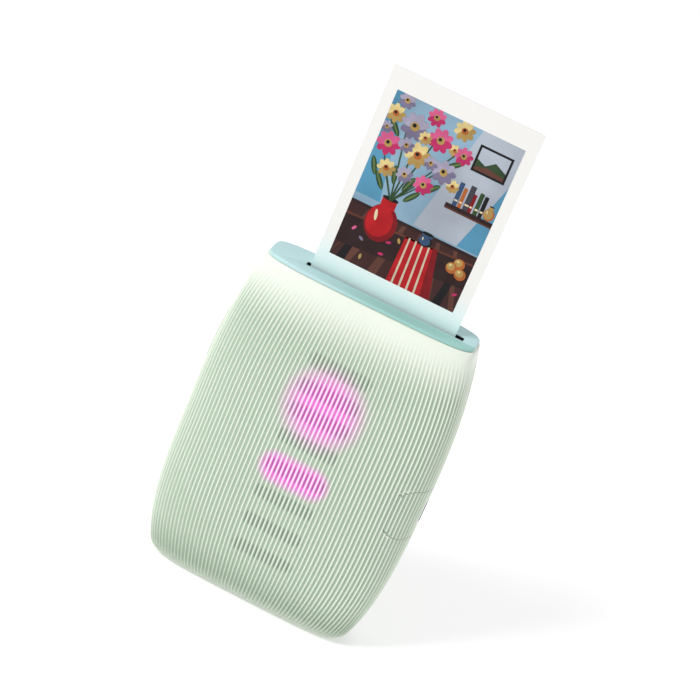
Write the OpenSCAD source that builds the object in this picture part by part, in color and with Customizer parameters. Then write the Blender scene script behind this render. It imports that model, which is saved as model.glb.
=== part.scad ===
// Compact instant-film photo printer.
// X runs to the right as seen from the front, the front faces -Y and Z points up.
// The origin is the middle of the base. All sizes are in millimetres.

/* [Body] */
// Room on each side of the film pack
side_room = 14.4; // [13.4:0.1:16]
// Depth taken by the boards and lights in front of the film pack and the door behind it
depth_room = 26.3; // [26:0.1:31]
// Room above the film pack for the rollers and the cap
head_room = 23.5; // [22:0.5:30]
// How much narrower the body is at the top
top_taper_w = 13.6; // [11:0.1:15]
// How much thinner the body is at the top
top_taper_d = 18.9; // [16:0.1:19.5]
// How much narrower the body is at the base, before its edge is rounded
base_taper_w = 15.7; // [12:0.1:17]
// How much thinner the body is at the base, before its edge is rounded
base_taper_d = 16.7; // [14:0.1:17.5]
// Radius of the rounded base edge
base_r = 5.2; // [4:0.1:6]
// Wall of the covers and the door
wall = 1.8; // [1.4:0.1:2]
// Ribs in a quarter of the way round
ribs_quarter = 34; // [24:1:38]
// Depth of the grooves between the ribs
groove_depth = 0.45; // [0.2:0.05:0.6]
// Smooth band above the ribs
plain_band = 4; // [2:0.5:8]
// Height over which the ribs fade in
rib_fade = 11; // [6:1:16]
// Half ribs from the side's middle to the parting line
parting_cols = 5; // [3:2:7]

/* [Top cap] */
// Thickness of the cap above the covers
cap_t = 1.3; // [1:0.1:2]
// Open line between the cap and the covers
cap_gap = 0.15; // [0.1:0.05:0.3]
// How far the print slot runs past the film on each side
slot_side = 2.25; // [1.5:0.05:3]
// Width of the print slot
slot_d = 3; // [2.4:0.1:3.4]
// Sideways offset of the slot from the film
slot_shift = 0.8; // [0:0.1:1.2]

/* [Film] */
// Width of a sheet
film_w = 54; // [53:0.5:55]
// Length of a sheet
film_h = 86; // [85:0.5:87]
// Thickness of a sheet
film_t = 0.3; // [0.25:0.01:0.35]
// Width of the picture
image_w = 46; // [44:0.5:47]
// Length of the picture
image_h = 62; // [60:0.5:63]
// Border above the picture
image_top = 7.5; // [6:0.1:9]
// How far the print stands out of the slot
film_out = 76.5; // [60:0.5:77]
// Sideways place of the film, off centre to leave room for the gears
film_x = 3.3; // [2.8:0.1:3.5]
// Sheets left in the pack
sheets_left = 9; // [1:1:9]

/* [Film pack and chassis] */
// How much wider than a sheet the film pack is on each side
pack_side = 3.75; // [3.2:0.05:4]
// How much longer than a sheet the film pack is
pack_over = 6; // [4:0.5:8]
// Depth of the film pack
pack_d = 11; // [10:0.1:11.3]
// Height of the pack's underside
pack_z = 9.5; // [9:0.1:10]
// Depth of the pack's middle
pack_y = 2.6; // [2.4:0.1:2.8]
// Wall of the pack
pack_wall = 0.8; // [0.6:0.1:1]
// Wall of the chassis
chassis_wall = 1.3; // [1.1:0.1:1.4]
// Thickness of the chassis plate in front of the pack
chassis_plate = 1.5; // [1.2:0.1:1.6]

/* [Film door] */
// Distance from the door's side to the widest line of the body
door_side = 9.85; // [9.5:0.05:10.5]
// Reach of the door below the film pack
door_under = 0.2; // [0:0.1:0.5]
// Reach of the door above the film pack
door_over = 5.5; // [4:0.5:6.5]
// Corner radius of the door
door_r = 8; // [6:0.5:9]
// Diameter of the hinge knuckles
knuckle_d = 3; // [2.8:0.1:3.2]
// Diameter of the hinge pin
door_pin_d = 1.4; // [1.2:0.1:1.6]
// Length of the whole hinge
hinge_len = 44; // [36:1:48]
// Length of the door's knuckle
door_knuckle_len = 22.4; // [16:0.2:26]
// Travel of the latch
latch_travel = 2.5; // [2:0.1:2.6]
// Width of the latch's thumb pad
latch_w = 7; // [6:0.5:7.5]
// Height of the latch's thumb pad
latch_h = 14; // [10:0.5:15]
// Width of the film window
window_w = 8; // [6:0.5:10]
// Height of the film window
window_h = 20; // [16:0.5:24]

/* [Rollers and gears] */
// Diameter of the rollers
roller_d = 5.4; // [5:0.1:5.6]
// Diameter of the roller shafts
shaft_d = 2; // [1.8:0.1:2.2]
// Depth of the roller axes below the top of the cap
roller_drop = 8; // [7.8:0.1:8.5]
// Thickness of the roller frame's side plates
frame_t = 1.5; // [1.2:0.1:1.6]
// Gear module
gear_module = 0.5; // [0.48:0.01:0.51]
// Teeth of the motor pinion
pinion_teeth = 12; // [12:1:13]
// Teeth of the idler gear
idler_teeth = 30; // [29:1:31]
// Teeth of the roller gear
roller_teeth = 18; // [18:1:19]
// Width of the gears
gear_t = 3; // [2.4:0.1:3.2]
// Gap in front of and behind the motor
motor_gap = 0.6; // [0.5:0.05:1]
// Length of the motor
motor_len = 18; // [14:0.5:19]

/* [Lights] */
// Sideways place of the lights
light_x = 1.4; // [0:0.1:2]
// Height of the round light
round_light_z = 86; // [84:0.5:87]
// Diameter of the round light
round_light_d = 22; // [18:0.5:22]
// Height of the flat light
flat_light_z = 59; // [58:0.5:61]
// Length of the flat light
flat_light_w = 22; // [18:0.5:24]
// Height of the flat light's guide
flat_light_h = 10; // [7:0.5:11]
// Thickness of the light guides
guide_t = 1.4; // [1:0.1:1.5]

/* [Boards and battery] */
// Thickness of the main board
board_t = 1; // [0.8:0.1:1.2]
// Reach of the main board past the film on each side
board_side = 2; // [1:0.1:2]
// Gap between the main board and the motor
board_gap = 1; // [0.5:0.1:2]
// Thickness of the small boards
small_board_t = 0.8; // [0.6:0.1:0.8]
// Height of the pegs under the main board
peg_h = 1; // [0.8:0.1:1]
// Width of the battery
battery_w = 32; // [28:0.5:32]
// Depth of the battery's top below the top of the main board
battery_drop = 22.5; // [20:0.5:30]
// Gap between the battery and the light board
battery_gap = 0.3; // [0.2:0.05:0.8]

/* [Side panel, socket and button] */
// Height of the side panel's middle
panel_z = 60.3; // [58:0.1:62]
// Height of the side panel
panel_h = 20; // [18:0.5:22]
// Reach of the side panel round to the front
panel_reach = 13.1; // [11:0.1:13.5]
// Reach of the side panel round to the back
panel_back = 10.4; // [9:0.1:10.5]
// Corner radius of the side panel
panel_r = 4; // [2.5:0.5:5]
// Long side of the socket
socket_h = 9; // [8.8:0.1:9.2]
// Short side of the socket
socket_w = 3.2; // [3:0.1:3.3]
// Length of the socket
socket_len = 7.2; // [6.5:0.1:7.4]
// Depth of the socket's middle
socket_y = -0.2; // [-0.4:0.1:0]
// Depth of the button's middle below the motor
button_drop = 9; // [8.5:0.1:11]
// Length of the button
button_len = 21; // [16:0.5:22]
// Width of the button
button_w = 5.2; // [4.4:0.1:5.4]
// Depth of the button's middle
button_y = -1; // [-1.4:0.1:-0.8]
// How far the button stands proud
button_proud = 0.35; // [0.2:0.05:0.4]
// Travel of the button
button_travel = 0.8; // [0.5:0.1:1]

/* [Fits] */
// Gap round parts that are let into each other
fit = 0.15; // [0.1:0.01:0.2]
// Gap beside parts that move
move_gap = 0.3; // [0.25:0.01:0.35]
// Running clearance of a shaft in its hole
run = 0.05; // [0.03:0.01:0.08]

/* [Hidden] */
$fn = 48;

// outer form
pack_w = film_w + 2 * pack_side;
pack_h = film_h + pack_over;
pack_top = pack_z + pack_h;
body_w = pack_w + 2 * side_room;
body_d = pack_d + depth_room;
body_h = pack_top + head_room;
mid_z = body_h / 2;
cols = 8 * ribs_quarter;
shell_top = body_h - cap_t - cap_gap;
section_steps = 60;

function above(z) = (z - mid_z) / (body_h - mid_z);
function below(z) = (mid_z - z) / mid_z;
function half_w(z) = z >= mid_z
  ? body_w / 2 - top_taper_w / 2 * pow(above(z), 2.5)
  : body_w / 2 - base_taper_w / 2 * pow(below(z), 3.75);
function half_d(z) = z >= mid_z
  ? body_d / 2 - top_taper_d / 2 * pow(above(z), 2.34)
  : body_d / 2 - base_taper_d / 2 * pow(below(z), 2.05);
// how square the section is: 2 is an ellipse
function squareness(z) = z >= mid_z ? 2.54 + 2 * pow(above(z), 2) : 2.54 + 1.75 * pow(below(z), 2);

// depth of the body's outside, and of its inside, at a place seen from the front or back
function super_y(x, a, b, n) = b * pow(max(0, 1 - pow(abs(x) / a, n)), 1 / n);
function skin_y(x, z) = super_y(x, half_w(z), half_d(z), squareness(z));
function inside_y(x, z) = super_y(x, half_w(z) - wall, half_d(z) - wall, squareness(z));
// half width of the body's outside, and of its inside, at a depth
function skin_x(y, z) = super_y(y, half_d(z), half_w(z), squareness(z));
function inside_x(y, z) = super_y(y, half_d(z) - wall, half_w(z) - wall, squareness(z));
// depth of the middle of the body's wall
function core_y(x, z) = (skin_y(x, z) + inside_y(x, z)) / 2;

// quarter of a section as [length so far, x, y]
function quarter(a, b, n) =
  let (p = [for (k = [0:section_steps]) let (t = 90 * k / section_steps)
    [a * pow(cos(t), 2 / n), b * pow(sin(t), 2 / n)]])
  [for (k = 0, s = 0; k <= section_steps;
        s = s + (k < section_steps ? norm(p[k + 1] - p[k]) : 0), k = k + 1) [s, p[k][0], p[k][1]]];

// a section at a height, moved inwards by inset: [half width, half depth, squareness, x by length, y by length]
function section(z, inset) =
  let (a = half_w(z) - inset, b = half_d(z) - inset, n = squareness(z),
       q = quarter(a, b, n), s = q[section_steps][0])
  [a, b, n, [for (e = q) [e[0] / s, e[1]]], [for (e = q) [e[0] / s, e[2]]]];

// point of a section at a column, moved inwards along the section's normal; columns are half ribs
function skin_point(sec, col, depth) =
  let (t = col / (2 * ribs_quarter), quad = floor(t) % 4, u = t - floor(t),
       f = quad % 2 == 0 ? u : 1 - u,
       x = lookup(f, sec[3]), y = lookup(f, sec[4]),
       gx = pow(x / sec[0], sec[2] - 1) / sec[0],
       gy = pow(y / sec[1], sec[2] - 1) / sec[1],
       g = norm([gx, gy]),
       px = x - depth * gx / g, py = y - depth * gy / g)
  [quad == 0 || quad == 3 ? px : -px, quad < 2 ? py : -py];

// grooves fade out towards the cap and into the base edge
function groove(z) = groove_depth * min(1, max(0, (body_h - plain_band - z) / rib_fade))
  * min(1, max(0, (z - base_r / 4) / base_r));

// rows of a wall: [outer height, outer inset, inner height, inner inset]
function base_rows() = [for (a = [0, 30, 60])
  [base_r * (1 - cos(a)), base_r * (1 - sin(a)),
   base_r - (base_r - wall) * cos(a), (base_r - wall) * (1 - sin(a)) + wall]];
function wall_row(z) = [z, 0, z, wall];
mid_rows = concat([base_r], [for (t = [0.19, 0.42, 0.7, 1]) t * mid_z],
                  [for (t = [0.28, 0.54]) mid_z + t * (body_h - mid_z)]);
top_rows = [body_h - 15, body_h - 9, body_h - plain_band, shell_top];
shell_rows = concat(base_rows(), [for (z = mid_rows) wall_row(z)], [for (z = top_rows) wall_row(z)]);

// a piece of the ribbed wall between two columns and over the given rows
// base_y closes it with a floor that ends on the line y = base_y
module skin(c0, c1, rows, inner_cols, base_y = undef, ribbed = true, proud = 0) {
  nc = c1 - c0;
  outer_wall = [for (r = rows) let (sec = section(r[0], r[1] - proud))
    [for (i = [0:nc]) let (d = ribbed && (c0 + i) % 2 == 1 ? groove(r[0]) : 0, p = skin_point(sec, c0 + i, d))
      [p[0], p[1], r[0]]]];
  inner_wall = [for (r = rows) let (sec = section(r[2], r[3]))
    [for (i = [0:inner_cols]) let (p = skin_point(sec, c0 + i * nc / inner_cols, 0)) [p[0], p[1], r[2]]]];
  floor_x = outer_wall[0][0][0];
  floor_end = floor_x - sign(floor_x);
  closes = base_y != undef;
  outer = closes
    ? concat([[for (i = [0:nc]) [floor_end * (1 - 2 * i / nc), base_y, 0]]], outer_wall) : outer_wall;
  inner = closes
    ? concat([[for (i = [0:inner_cols]) [floor_end * (1 - 2 * i / inner_cols), base_y, wall]]], inner_wall)
    : inner_wall;
  nr = len(outer);
  function o(r, i) = r * (nc + 1) + i;
  function q(r, i) = nr * (nc + 1) + r * (inner_cols + 1) + i;
  // inner column that faces outer column i along a rim
  function facing(i) = round((i + 0.5) * inner_cols / nc);
  last = nr - 1;
  points = concat([for (r = outer) each r], [for (r = inner) each r]);
  faces = concat(
    [for (r = [0:nr - 2]) for (i = [0:nc - 1])
      each [[o(r, i), o(r + 1, i), o(r + 1, i + 1)], [o(r, i), o(r + 1, i + 1), o(r, i + 1)]]],
    [for (r = [0:nr - 2]) for (i = [0:inner_cols - 1])
      each [[q(r, i), q(r + 1, i + 1), q(r + 1, i)], [q(r, i), q(r, i + 1), q(r + 1, i + 1)]]],
    [for (r = [0:nr - 2]) each [[o(r, 0), q(r, 0), q(r + 1, 0)], [o(r, 0), q(r + 1, 0), o(r + 1, 0)]]],
    [for (r = [0:nr - 2]) each [[o(r, nc), q(r + 1, inner_cols), q(r, inner_cols)],
                                [o(r, nc), o(r + 1, nc), q(r + 1, inner_cols)]]],
    [for (i = [0:nc - 1]) [o(0, i), o(0, i + 1), q(0, facing(i))]],
    [for (i = [1:nc - 1]) if (facing(i) != facing(i - 1)) [q(0, facing(i - 1)), o(0, i), q(0, facing(i))]],
    [for (i = [0:nc - 1]) [o(last, i + 1), o(last, i), q(last, facing(i))]],
    [for (i = [1:nc - 1]) if (facing(i) != facing(i - 1))
      [o(last, i), q(last, facing(i - 1)), q(last, facing(i))]]
  );
  polyhedron(points, faces, convexity = 6);
}

module block(x0, x1, y0, y1, z0, z1) {
  translate([x0, y0, z0]) cube([x1 - x0, y1 - y0, z1 - z0]);
}
module rod_x(x0, x1, y, z, r) {
  translate([x0, y, z]) rotate([0, 90, 0]) cylinder(r = r, h = x1 - x0);
}
module rod_y(x, y0, y1, z, r) {
  translate([x, y1, z]) rotate([90, 0, 0]) cylinder(r = r, h = y1 - y0);
}
module rod_z(x, y, z0, z1, r) {
  translate([x, y, z0]) cylinder(r = r, h = z1 - z0);
}
// rounded rectangle, centred
module rounded(w, h, r) {
  if (w - 2 * r > 0.01) square([w - 2 * r, h], center = true);
  if (h - 2 * r > 0.01) square([w, h - 2 * r], center = true);
  for (sx = [-1, 1]) for (sy = [-1, 1])
    translate([sx * (w / 2 - r), sy * (h / 2 - r)]) circle(r);
}
// rounded plate seen from the front, from depth y0 to y1
module plate_y(x, z, w, h, r, y0, y1) {
  translate([x, y1, z]) rotate([90, 0, 0]) linear_extrude(y1 - y0) rounded(w, h, r);
}
// rounded plate seen from the side, from x0 to x1
module plate_x(y, z, w, h, r, x0, x1) {
  translate([x0, y, z]) rotate([90, 0, 90]) linear_extrude(x1 - x0) rounded(w, h, r);
}
// outline of the body at a height, moved inwards
function outline(z, inset) = let (sec = section(z, inset))
  [for (i = [0:outline_points - 1]) skin_point(sec, i * cols / outline_points, 0)];
outline_points = 160;
// screw with its head towards +Y (up = 1) or -Y (up = -1)
module screw(x, z, head_y, len, up) {
  y1 = head_y - up * len;
  rod_y(x, min(head_y, y1), max(head_y, y1), z, screw_d / 2 - run);
  difference() {
    rod_y(x, min(head_y, head_y + up * screw_head_t), max(head_y, head_y + up * screw_head_t), z, screw_head_d / 2);
    for (a = [0, 90])
      translate([x, head_y + up * screw_head_t, z]) rotate([0, a, 0]) cube([screw_head_d * 0.6, 1, 0.5], center = true);
  }
}
screw_d = 2;
screw_head_d = 3.6;
screw_head_t = 1.2;
boss_d = 4.6;
// blade of a bowed leaf spring in a depth-height plane: ends at y_end, middle at y_mid
module leaf(x0, x1, z_mid, half_len, y_end, y_mid, t) {
  rise = abs(y_end - y_mid);
  r = (half_len * half_len + rise * rise) / (2 * rise);
  side = sign(y_end - y_mid);
  translate([x0, y_mid + side * r, z_mid]) rotate([90, 0, 90]) linear_extrude(x1 - x0)
    intersection() {
      difference() {
        circle(r, $fn = 96);
        circle(r - t, $fn = 96);
      }
      translate([side > 0 ? -2 * r : r - rise, -half_len]) square([r + rise, 2 * half_len]);
    }
}
// coil spring along Z as a swept tube
module coil(x, y, z0, z1, r, wire, turns) {
  sides = 5;
  per = 9;
  n = turns * per;
  ring = [for (k = [0:n]) let (a = 360 * k / per, c = [x + r * cos(a), y + r * sin(a), z0 + wire / 2 + (z1 - z0 - wire) * k / n])
    [for (s = [0:sides - 1]) let (b = 360 * s / sides)
      c + wire / 2 * [cos(a) * cos(b), sin(a) * cos(b), sin(b)]]];
  function at(k, s) = k * sides + s % sides;
  polyhedron([for (q = ring) each q],
    concat([[for (s = [0:sides - 1]) at(0, s)]], [[for (s = [sides - 1:-1:0]) at(n, s)]],
      [for (k = [0:n - 1]) for (s = [0:sides - 1])
        each [[at(k, s), at(k + 1, s), at(k + 1, s + 1)], [at(k, s), at(k + 1, s + 1), at(k, s + 1)]]]),
    convexity = 8);
}

// film, pack and chassis
path_gap = 0.6;
pack_y0 = pack_y - pack_d / 2;
pack_y1 = pack_y + pack_d / 2;
film_y = pack_y0 + pack_wall + path_gap;
film_bottom = body_h + film_out - film_h;
film_front = film_y - film_t / 2;
film_back = film_y + film_t / 2;
film_x0 = film_x - film_w / 2;
film_x1 = film_x + film_w / 2;
pack_x0 = film_x - pack_w / 2;
pack_x1 = film_x + pack_w / 2;
stack_y0 = film_y + path_gap;
sheet_pitch = 0.5;
stack_y1 = stack_y0 + sheets_left * sheet_pitch;
slot_x = film_x + slot_shift;
slot_w = film_w + 2 * slot_side;

chassis_x0 = pack_x0 - move_gap - chassis_wall;
chassis_x1 = pack_x1 + move_gap + chassis_wall;
chassis_back = pack_y0 - move_gap;
chassis_front = chassis_back - chassis_plate;
chassis_rear = pack_y1 - 1.1;
chassis_z0 = pack_z - chassis_wall;
chassis_top = pack_top + 0.4;

// rollers and gears
frame_side = side_room - 10.3;
frame_x0 = film_x0 - frame_side;
frame_x1 = film_x1 + frame_side;
frame_top = body_h - cap_t - 1.4;
roller_z = body_h - roller_drop;
roller_gap = 0.1;
drive_y = film_back + roller_gap + roller_d / 2;
press_y = film_front - roller_gap - roller_d / 2;
roller_half = film_w / 2 + 1;
gear_gap = 1.1;
gear_x1 = frame_x0 - frame_t - gear_gap;
gear_x0 = gear_x1 - gear_t;
pinion_reach = gear_module * (pinion_teeth + idler_teeth) / 2;
roller_reach = gear_module * (roller_teeth + idler_teeth) / 2;
// share of the full reach that the bent line of gears spans
gear_span = 0.979;
bracket_t = 1.3;
motor_x0 = chassis_x0 + bracket_t;
motor_y0 = motor_gap - inside_y(motor_x0, pack_top);
motor_y1 = chassis_back - motor_gap;
motor_d = motor_y1 - motor_y0;
motor_y = (motor_y0 + motor_y1) / 2;
axis_dy = drive_y - motor_y;
axis_len = gear_span * (pinion_reach + roller_reach);
axis_dz = sqrt(axis_len * axis_len - axis_dy * axis_dy);
motor_z = roller_z - axis_dz;
along = (pinion_reach * pinion_reach - roller_reach * roller_reach + axis_len * axis_len) / (2 * axis_len);
aside = sqrt(pinion_reach * pinion_reach - along * along);
idler_y = motor_y + (along * axis_dy + aside * axis_dz) / axis_len;
idler_z = motor_z + (along * axis_dz - aside * axis_dy) / axis_len;
motor_shaft_d = 1;
head_z0 = pack_top + 1.5;
head_h = 6;
head_t = 2.6;
head_gap = 0.25;
head_y0 = film_front - head_gap - head_t;

// screw places: [x, z]
screw_x0 = chassis_x0 + 9.95 - side_room;
screw_x1 = chassis_x1 + side_room - 11.65;
chassis_fix = [[screw_x0, pack_z + 16.5], [screw_x0, motor_z - 9], [screw_x1, pack_z + 20.5], [screw_x1, pack_top - 9.5]];
cover_fix = [for (z = [mid_z - 22.5, mid_z + 9.5]) [screw_x0, z]];
lug_y0 = 5.5;
lug_t = 1.7;
tab_zs = [mid_z - 22.5, mid_z + 17.5];

// door and hinge
door_half_w = body_w / 2 - door_side;
door_z0 = pack_z - door_under;
door_z1 = pack_top + door_over;
door_mid = (door_z0 + door_z1) / 2;
hinge_x = -door_half_w - 0.7;
hinge_y = skin_y(door_half_w, mid_z);
hinge_z0 = mid_z - 0.5 - hinge_len / 2;
hinge_z1 = hinge_z0 + hinge_len;
door_knuckle_z0 = (hinge_z0 + hinge_z1 - door_knuckle_len) / 2;
door_knuckle_z1 = door_knuckle_z0 + door_knuckle_len;

latch_x = door_half_w - 10.3;
latch_z = mid_z - 0.5;
latch_flange = 1;
latch_t = 1;
guide_floor = 0.8;
latch_y0 = pack_y1 + move_gap + guide_floor + move_gap;
latch_y1 = latch_y0 + latch_t;
latch_recess = 0.4;
latch_face = skin_y(latch_x + latch_w / 2 + latch_travel, latch_z) - latch_recess;
tongue_h = 8;
keeper_t = 0.6;
keeper_x1 = door_half_w + move_gap;
keeper_reach = 2.9;
// the tongue stops short of the keeper's upright
tongue_end = keeper_x1 - keeper_t - move_gap - latch_travel;
guide_wall = 1.2;
guide_x0 = latch_x - latch_w / 2 - latch_flange - 1;
guide_x1 = latch_x + latch_w / 2 + latch_flange + latch_travel;
guide_half = latch_h / 2 + latch_flange + move_gap;
guide_y0 = latch_y0 - move_gap - guide_floor;
guide_y1 = latch_y1 + 1.8;
spring_xs = [film_x - 19.3, film_x + 8.7];
door_spring_w = 6;
door_spring_z = mid_z - 7.5;
door_spring_half = 14;
door_spring_end = pack_y1 + 2.5;
window_x = -8;
window_z = mid_z + 9.5;
window_t = 0.7;
window_y = inside_y(window_x, window_z) + window_t / 2;

// boards, battery and lights
board_w = film_w + 2 * board_side;
board_y1 = chassis_front - peg_h;
board_y0 = board_y1 - board_t;
board_z0 = 18;
board_z1 = motor_z - motor_d / 2 - board_gap;
board_x0 = film_x - board_w / 2;
board_x1 = film_x + board_w / 2;
board_inset = 3;
board_fix = [for (x = [board_x0 + board_inset, board_x1 - board_inset])
  for (z = [board_z0 + board_inset, board_z1 - board_inset]) [x, z]];
battery_z0 = board_z0 + 4.5;
battery_z1 = board_z1 - battery_drop;
lamp_y0 = guide_t + 0.5 - inside_y(light_x, round_light_z + round_light_d / 2);
chip_t = 0.6;
light_board_y0 = lamp_y0 + chip_t;
light_board_y1 = light_board_y0 + small_board_t;
light_board_w = 16;
light_board_z0 = flat_light_z - 9;
light_board_z1 = round_light_z + 15;
light_pins = [light_board_z0 + 1.5, (round_light_z + flat_light_z) / 2 - 2.5, light_board_z1 - 1.5];
pin_d = 1.2;

// side panel, socket and button
panel_x = 34;
socket_x1 = skin_x(0, panel_z) - 0.5;
port_board_y = socket_y + socket_w / 2;
port_shelf_t = 1.2;
port_shelf_x1 = inside_x(4, panel_z) - 0.4;
port_board_h = 12.5;
button_z = motor_z - button_drop;
switch_x = 4.6 - inside_x(button_y, button_z);
switch_t = 1.2;
plunger_t = 0.3;
switch_z0 = button_z - 8.5;
switch_z1 = button_z + 4.5;
button_end = switch_x - switch_t - plunger_t - 0.1 - button_travel;
flange_t = 0.8;
flange_edge = 0.8;

// pick claw
claw_travel = 6;
claw_z0 = pack_z + 1;
claw_h = 11.5;
claw_w = 5;
claw_t = 1.4;
finger_z0 = pack_z + pack_wall + 2 * move_gap;
finger_h = 1.4;
claw_x1 = chassis_x0 - move_gap;
claw_x0 = claw_x1 - claw_t;
claw_stop = claw_z0 + claw_h + claw_travel + 4;

base_line = skin_point(section(0, base_r), parting_cols, 0)[1] + 0.6;

module opening(gap) {
  plate_y(0, door_mid, 2 * door_half_w + 2 * gap, door_z1 - door_z0 + 2 * gap, door_r + gap, 2, body_d);
}
module panel_shape(gap, x0, x1) {
  plate_x((panel_back - panel_reach) / 2, panel_z, panel_reach + panel_back + 2 * gap, panel_h + 2 * gap, panel_r + gap, x0, x1);
}
module button_shape(gap, x0, x1) {
  plate_x(button_y, button_z, button_w + 2 * gap, button_len + 2 * gap, button_w / 2 + gap, x0, x1);
}
// boss from the front cover's wall to depth y, bored for a screw
module boss(x, z, y) {
  rod_y(x, -inside_y(abs(x) + boss_d / 3, z) - wall / 2, y, z, boss_d / 2);
}
module boss_bore(x, z, y, len) {
  rod_y(x, y - len, y + 1, z, screw_d / 2);
}

module front_cover() color("honeydew") difference() {
  union() {
    skin(cols / 2 - parting_cols, cols + parting_cols, shell_rows, 25, base_line);
    for (f = chassis_fix) boss(f[0], f[1], chassis_front);
    for (f = cover_fix) boss(f[0], f[1], lug_y0);
    for (z = light_pins) {
      rod_y(light_x, -inside_y(0, z) - wall / 2, light_board_y0, z, pin_d);
      rod_y(light_x, light_board_y0 - 1, light_board_y1, z, pin_d / 2);
    }
  }
  panel_shape(fit, panel_x, body_w / 2 + 1);
  button_shape(move_gap, -body_w / 2 - 1, switch_x);
  for (f = chassis_fix) boss_bore(f[0], f[1], chassis_front, 4);
  for (f = cover_fix) boss_bore(f[0], f[1], lug_y0, 5);
}

// wall of the film chamber beside the door (sx = -1 left, 1 right), ending in the skin's core
chamber_t = 1.3;
chamber_y0 = chassis_rear + 1.2;
module side_wall(sx) {
  x0 = door_half_w + move_gap;
  z0 = door_z0 + door_r;
  z1 = door_z1 - door_r;
  n = 8;
  translate([sx > 0 ? x0 : -x0 - chamber_t, 0, 0]) rotate([90, 0, 90]) linear_extrude(chamber_t)
    polygon(concat([[chamber_y0, z1], [chamber_y0, z0]],
      [for (i = [0:n]) let (z = z0 + (z1 - z0) * i / n) [core_y(x0 + chamber_t, z), z]]));
}
// wall of the film chamber below or above the door
module end_wall(z) {
  half = door_half_w - door_r;
  n = 6;
  translate([0, 0, z]) linear_extrude(chamber_t)
    polygon(concat([[half, chamber_y0], [-half, chamber_y0]],
      [for (i = [0:n]) let (x = half * (2 * i / n - 1)) [x, min(core_y(x, z), core_y(x, z + chamber_t))]]));
}

module rear_cover() color("honeydew") difference() {
  union() {
    difference() {
      skin(parting_cols, cols / 2 - parting_cols, shell_rows, 24, base_line);
      opening(move_gap);
    }
    side_wall(-1);
    side_wall(1);
    end_wall(door_z0 - move_gap - chamber_t);
    end_wall(door_z1 + move_gap);
    // screw lugs on the left, locating tabs on the right
    for (f = cover_fix)
      block(-skin_x(lug_y0 + lug_t, f[1]) + wall / 3, f[0] + boss_d / 2, lug_y0, lug_y0 + lug_t,
            f[1] - tab_half, f[1] + tab_half);
    for (z = tab_zs)
      block(inside_x(4, z) - move_gap - 1.2, inside_x(4, z) - move_gap, -2, 7.5, z - tab_half, z + tab_half);
    for (z = [[hinge_z0, door_knuckle_z0 - move_gap], [door_knuckle_z1 + move_gap, hinge_z1]])
      rod_z(hinge_x, hinge_y, z[0], z[1], knuckle_d / 2);
  }
  panel_shape(fit, panel_x, body_w / 2 + 1);
  rod_z(hinge_x, hinge_y, door_knuckle_z0 - move_gap, door_knuckle_z1 + move_gap, knuckle_d / 2 + move_gap);
  rod_z(hinge_x, hinge_y, hinge_z0 - 1, hinge_z1 + 1, door_pin_d / 2 + run);
  for (f = cover_fix) rod_y(f[0], lug_y0 - 1, lug_y0 + lug_t + 1, f[1], screw_d / 2);
}
tab_half = 3;

module top_cap() color("paleturquoise") difference() {
  union() {
    translate([0, 0, body_h - cap_t]) linear_extrude(cap_t) polygon(outline(body_h, 0.1));
    translate([0, 0, frame_top]) linear_extrude(body_h - cap_t - frame_top) difference() {
      polygon(outline(shell_top, wall + move_gap));
      polygon(outline(shell_top, wall + move_gap + 1.2));
    }
    // feet on the roller frame
    for (x = [frame_x0 - frame_t, frame_x1])
      block(x, x + frame_t, -foot_half, foot_half, frame_top, body_h - cap_t + 0.2);
  }
  block(slot_x - slot_w / 2, slot_x + slot_w / 2, film_y - slot_d / 2, film_y + slot_d / 2, frame_top - 1, body_h + 1);
}
foot_half = 3.4;

module slot_felts() color("dimgray") {
  felt_t = 0.8;
  felt_z1 = body_h - cap_t;
  half = slot_w / 2 + 0.7;
  block(slot_x - half, slot_x + half, film_y - slot_d / 2 - 1, film_front - roller_gap, felt_z1 - felt_t, felt_z1);
  block(slot_x - half, slot_x + half, film_back + roller_gap, film_y + slot_d / 2 + 1, felt_z1 - felt_t, felt_z1);
}

// ledge that carries the port board
module port_shelf(x0, x1) {
  y0 = port_board_y + small_board_t;
  block(x0, x1, y0, y0 + port_shelf_t, panel_z - port_board_h / 2, panel_z + port_board_h / 2);
}
module port_panel() color("honeydew") difference() {
  union() {
    intersection() {
      skin(cols - 22, cols + 22, [for (z = [-1, 0, 1]) wall_row(panel_z + z * (panel_h / 2 + 4))], 22);
      panel_shape(0, panel_x, body_w / 2 + 1);
    }
    port_shelf(port_shelf_x1, port_shelf_x1 + 1);
  }
  plate_x(socket_y, panel_z, socket_w + 2 * fit, socket_h + 2 * fit, socket_w / 2 + fit, panel_x, body_w);
}

module power_button() color("ghostwhite") {
  intersection() {
    skin(cols / 2 - 8, cols / 2 + 12, [for (z = [-1.5, -0.5, 0.5, 1.5]) wall_row(button_z + z * button_len / 2)], 10,
         ribbed = false, proud = button_proud);
    button_shape(0, -body_w, switch_x + 1);
  }
  button_shape(flange_edge, button_end - flange_t, button_end);
  button_shape(-0.5, -skin_x(0, button_z) + wall / 2, button_end);
}

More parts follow.
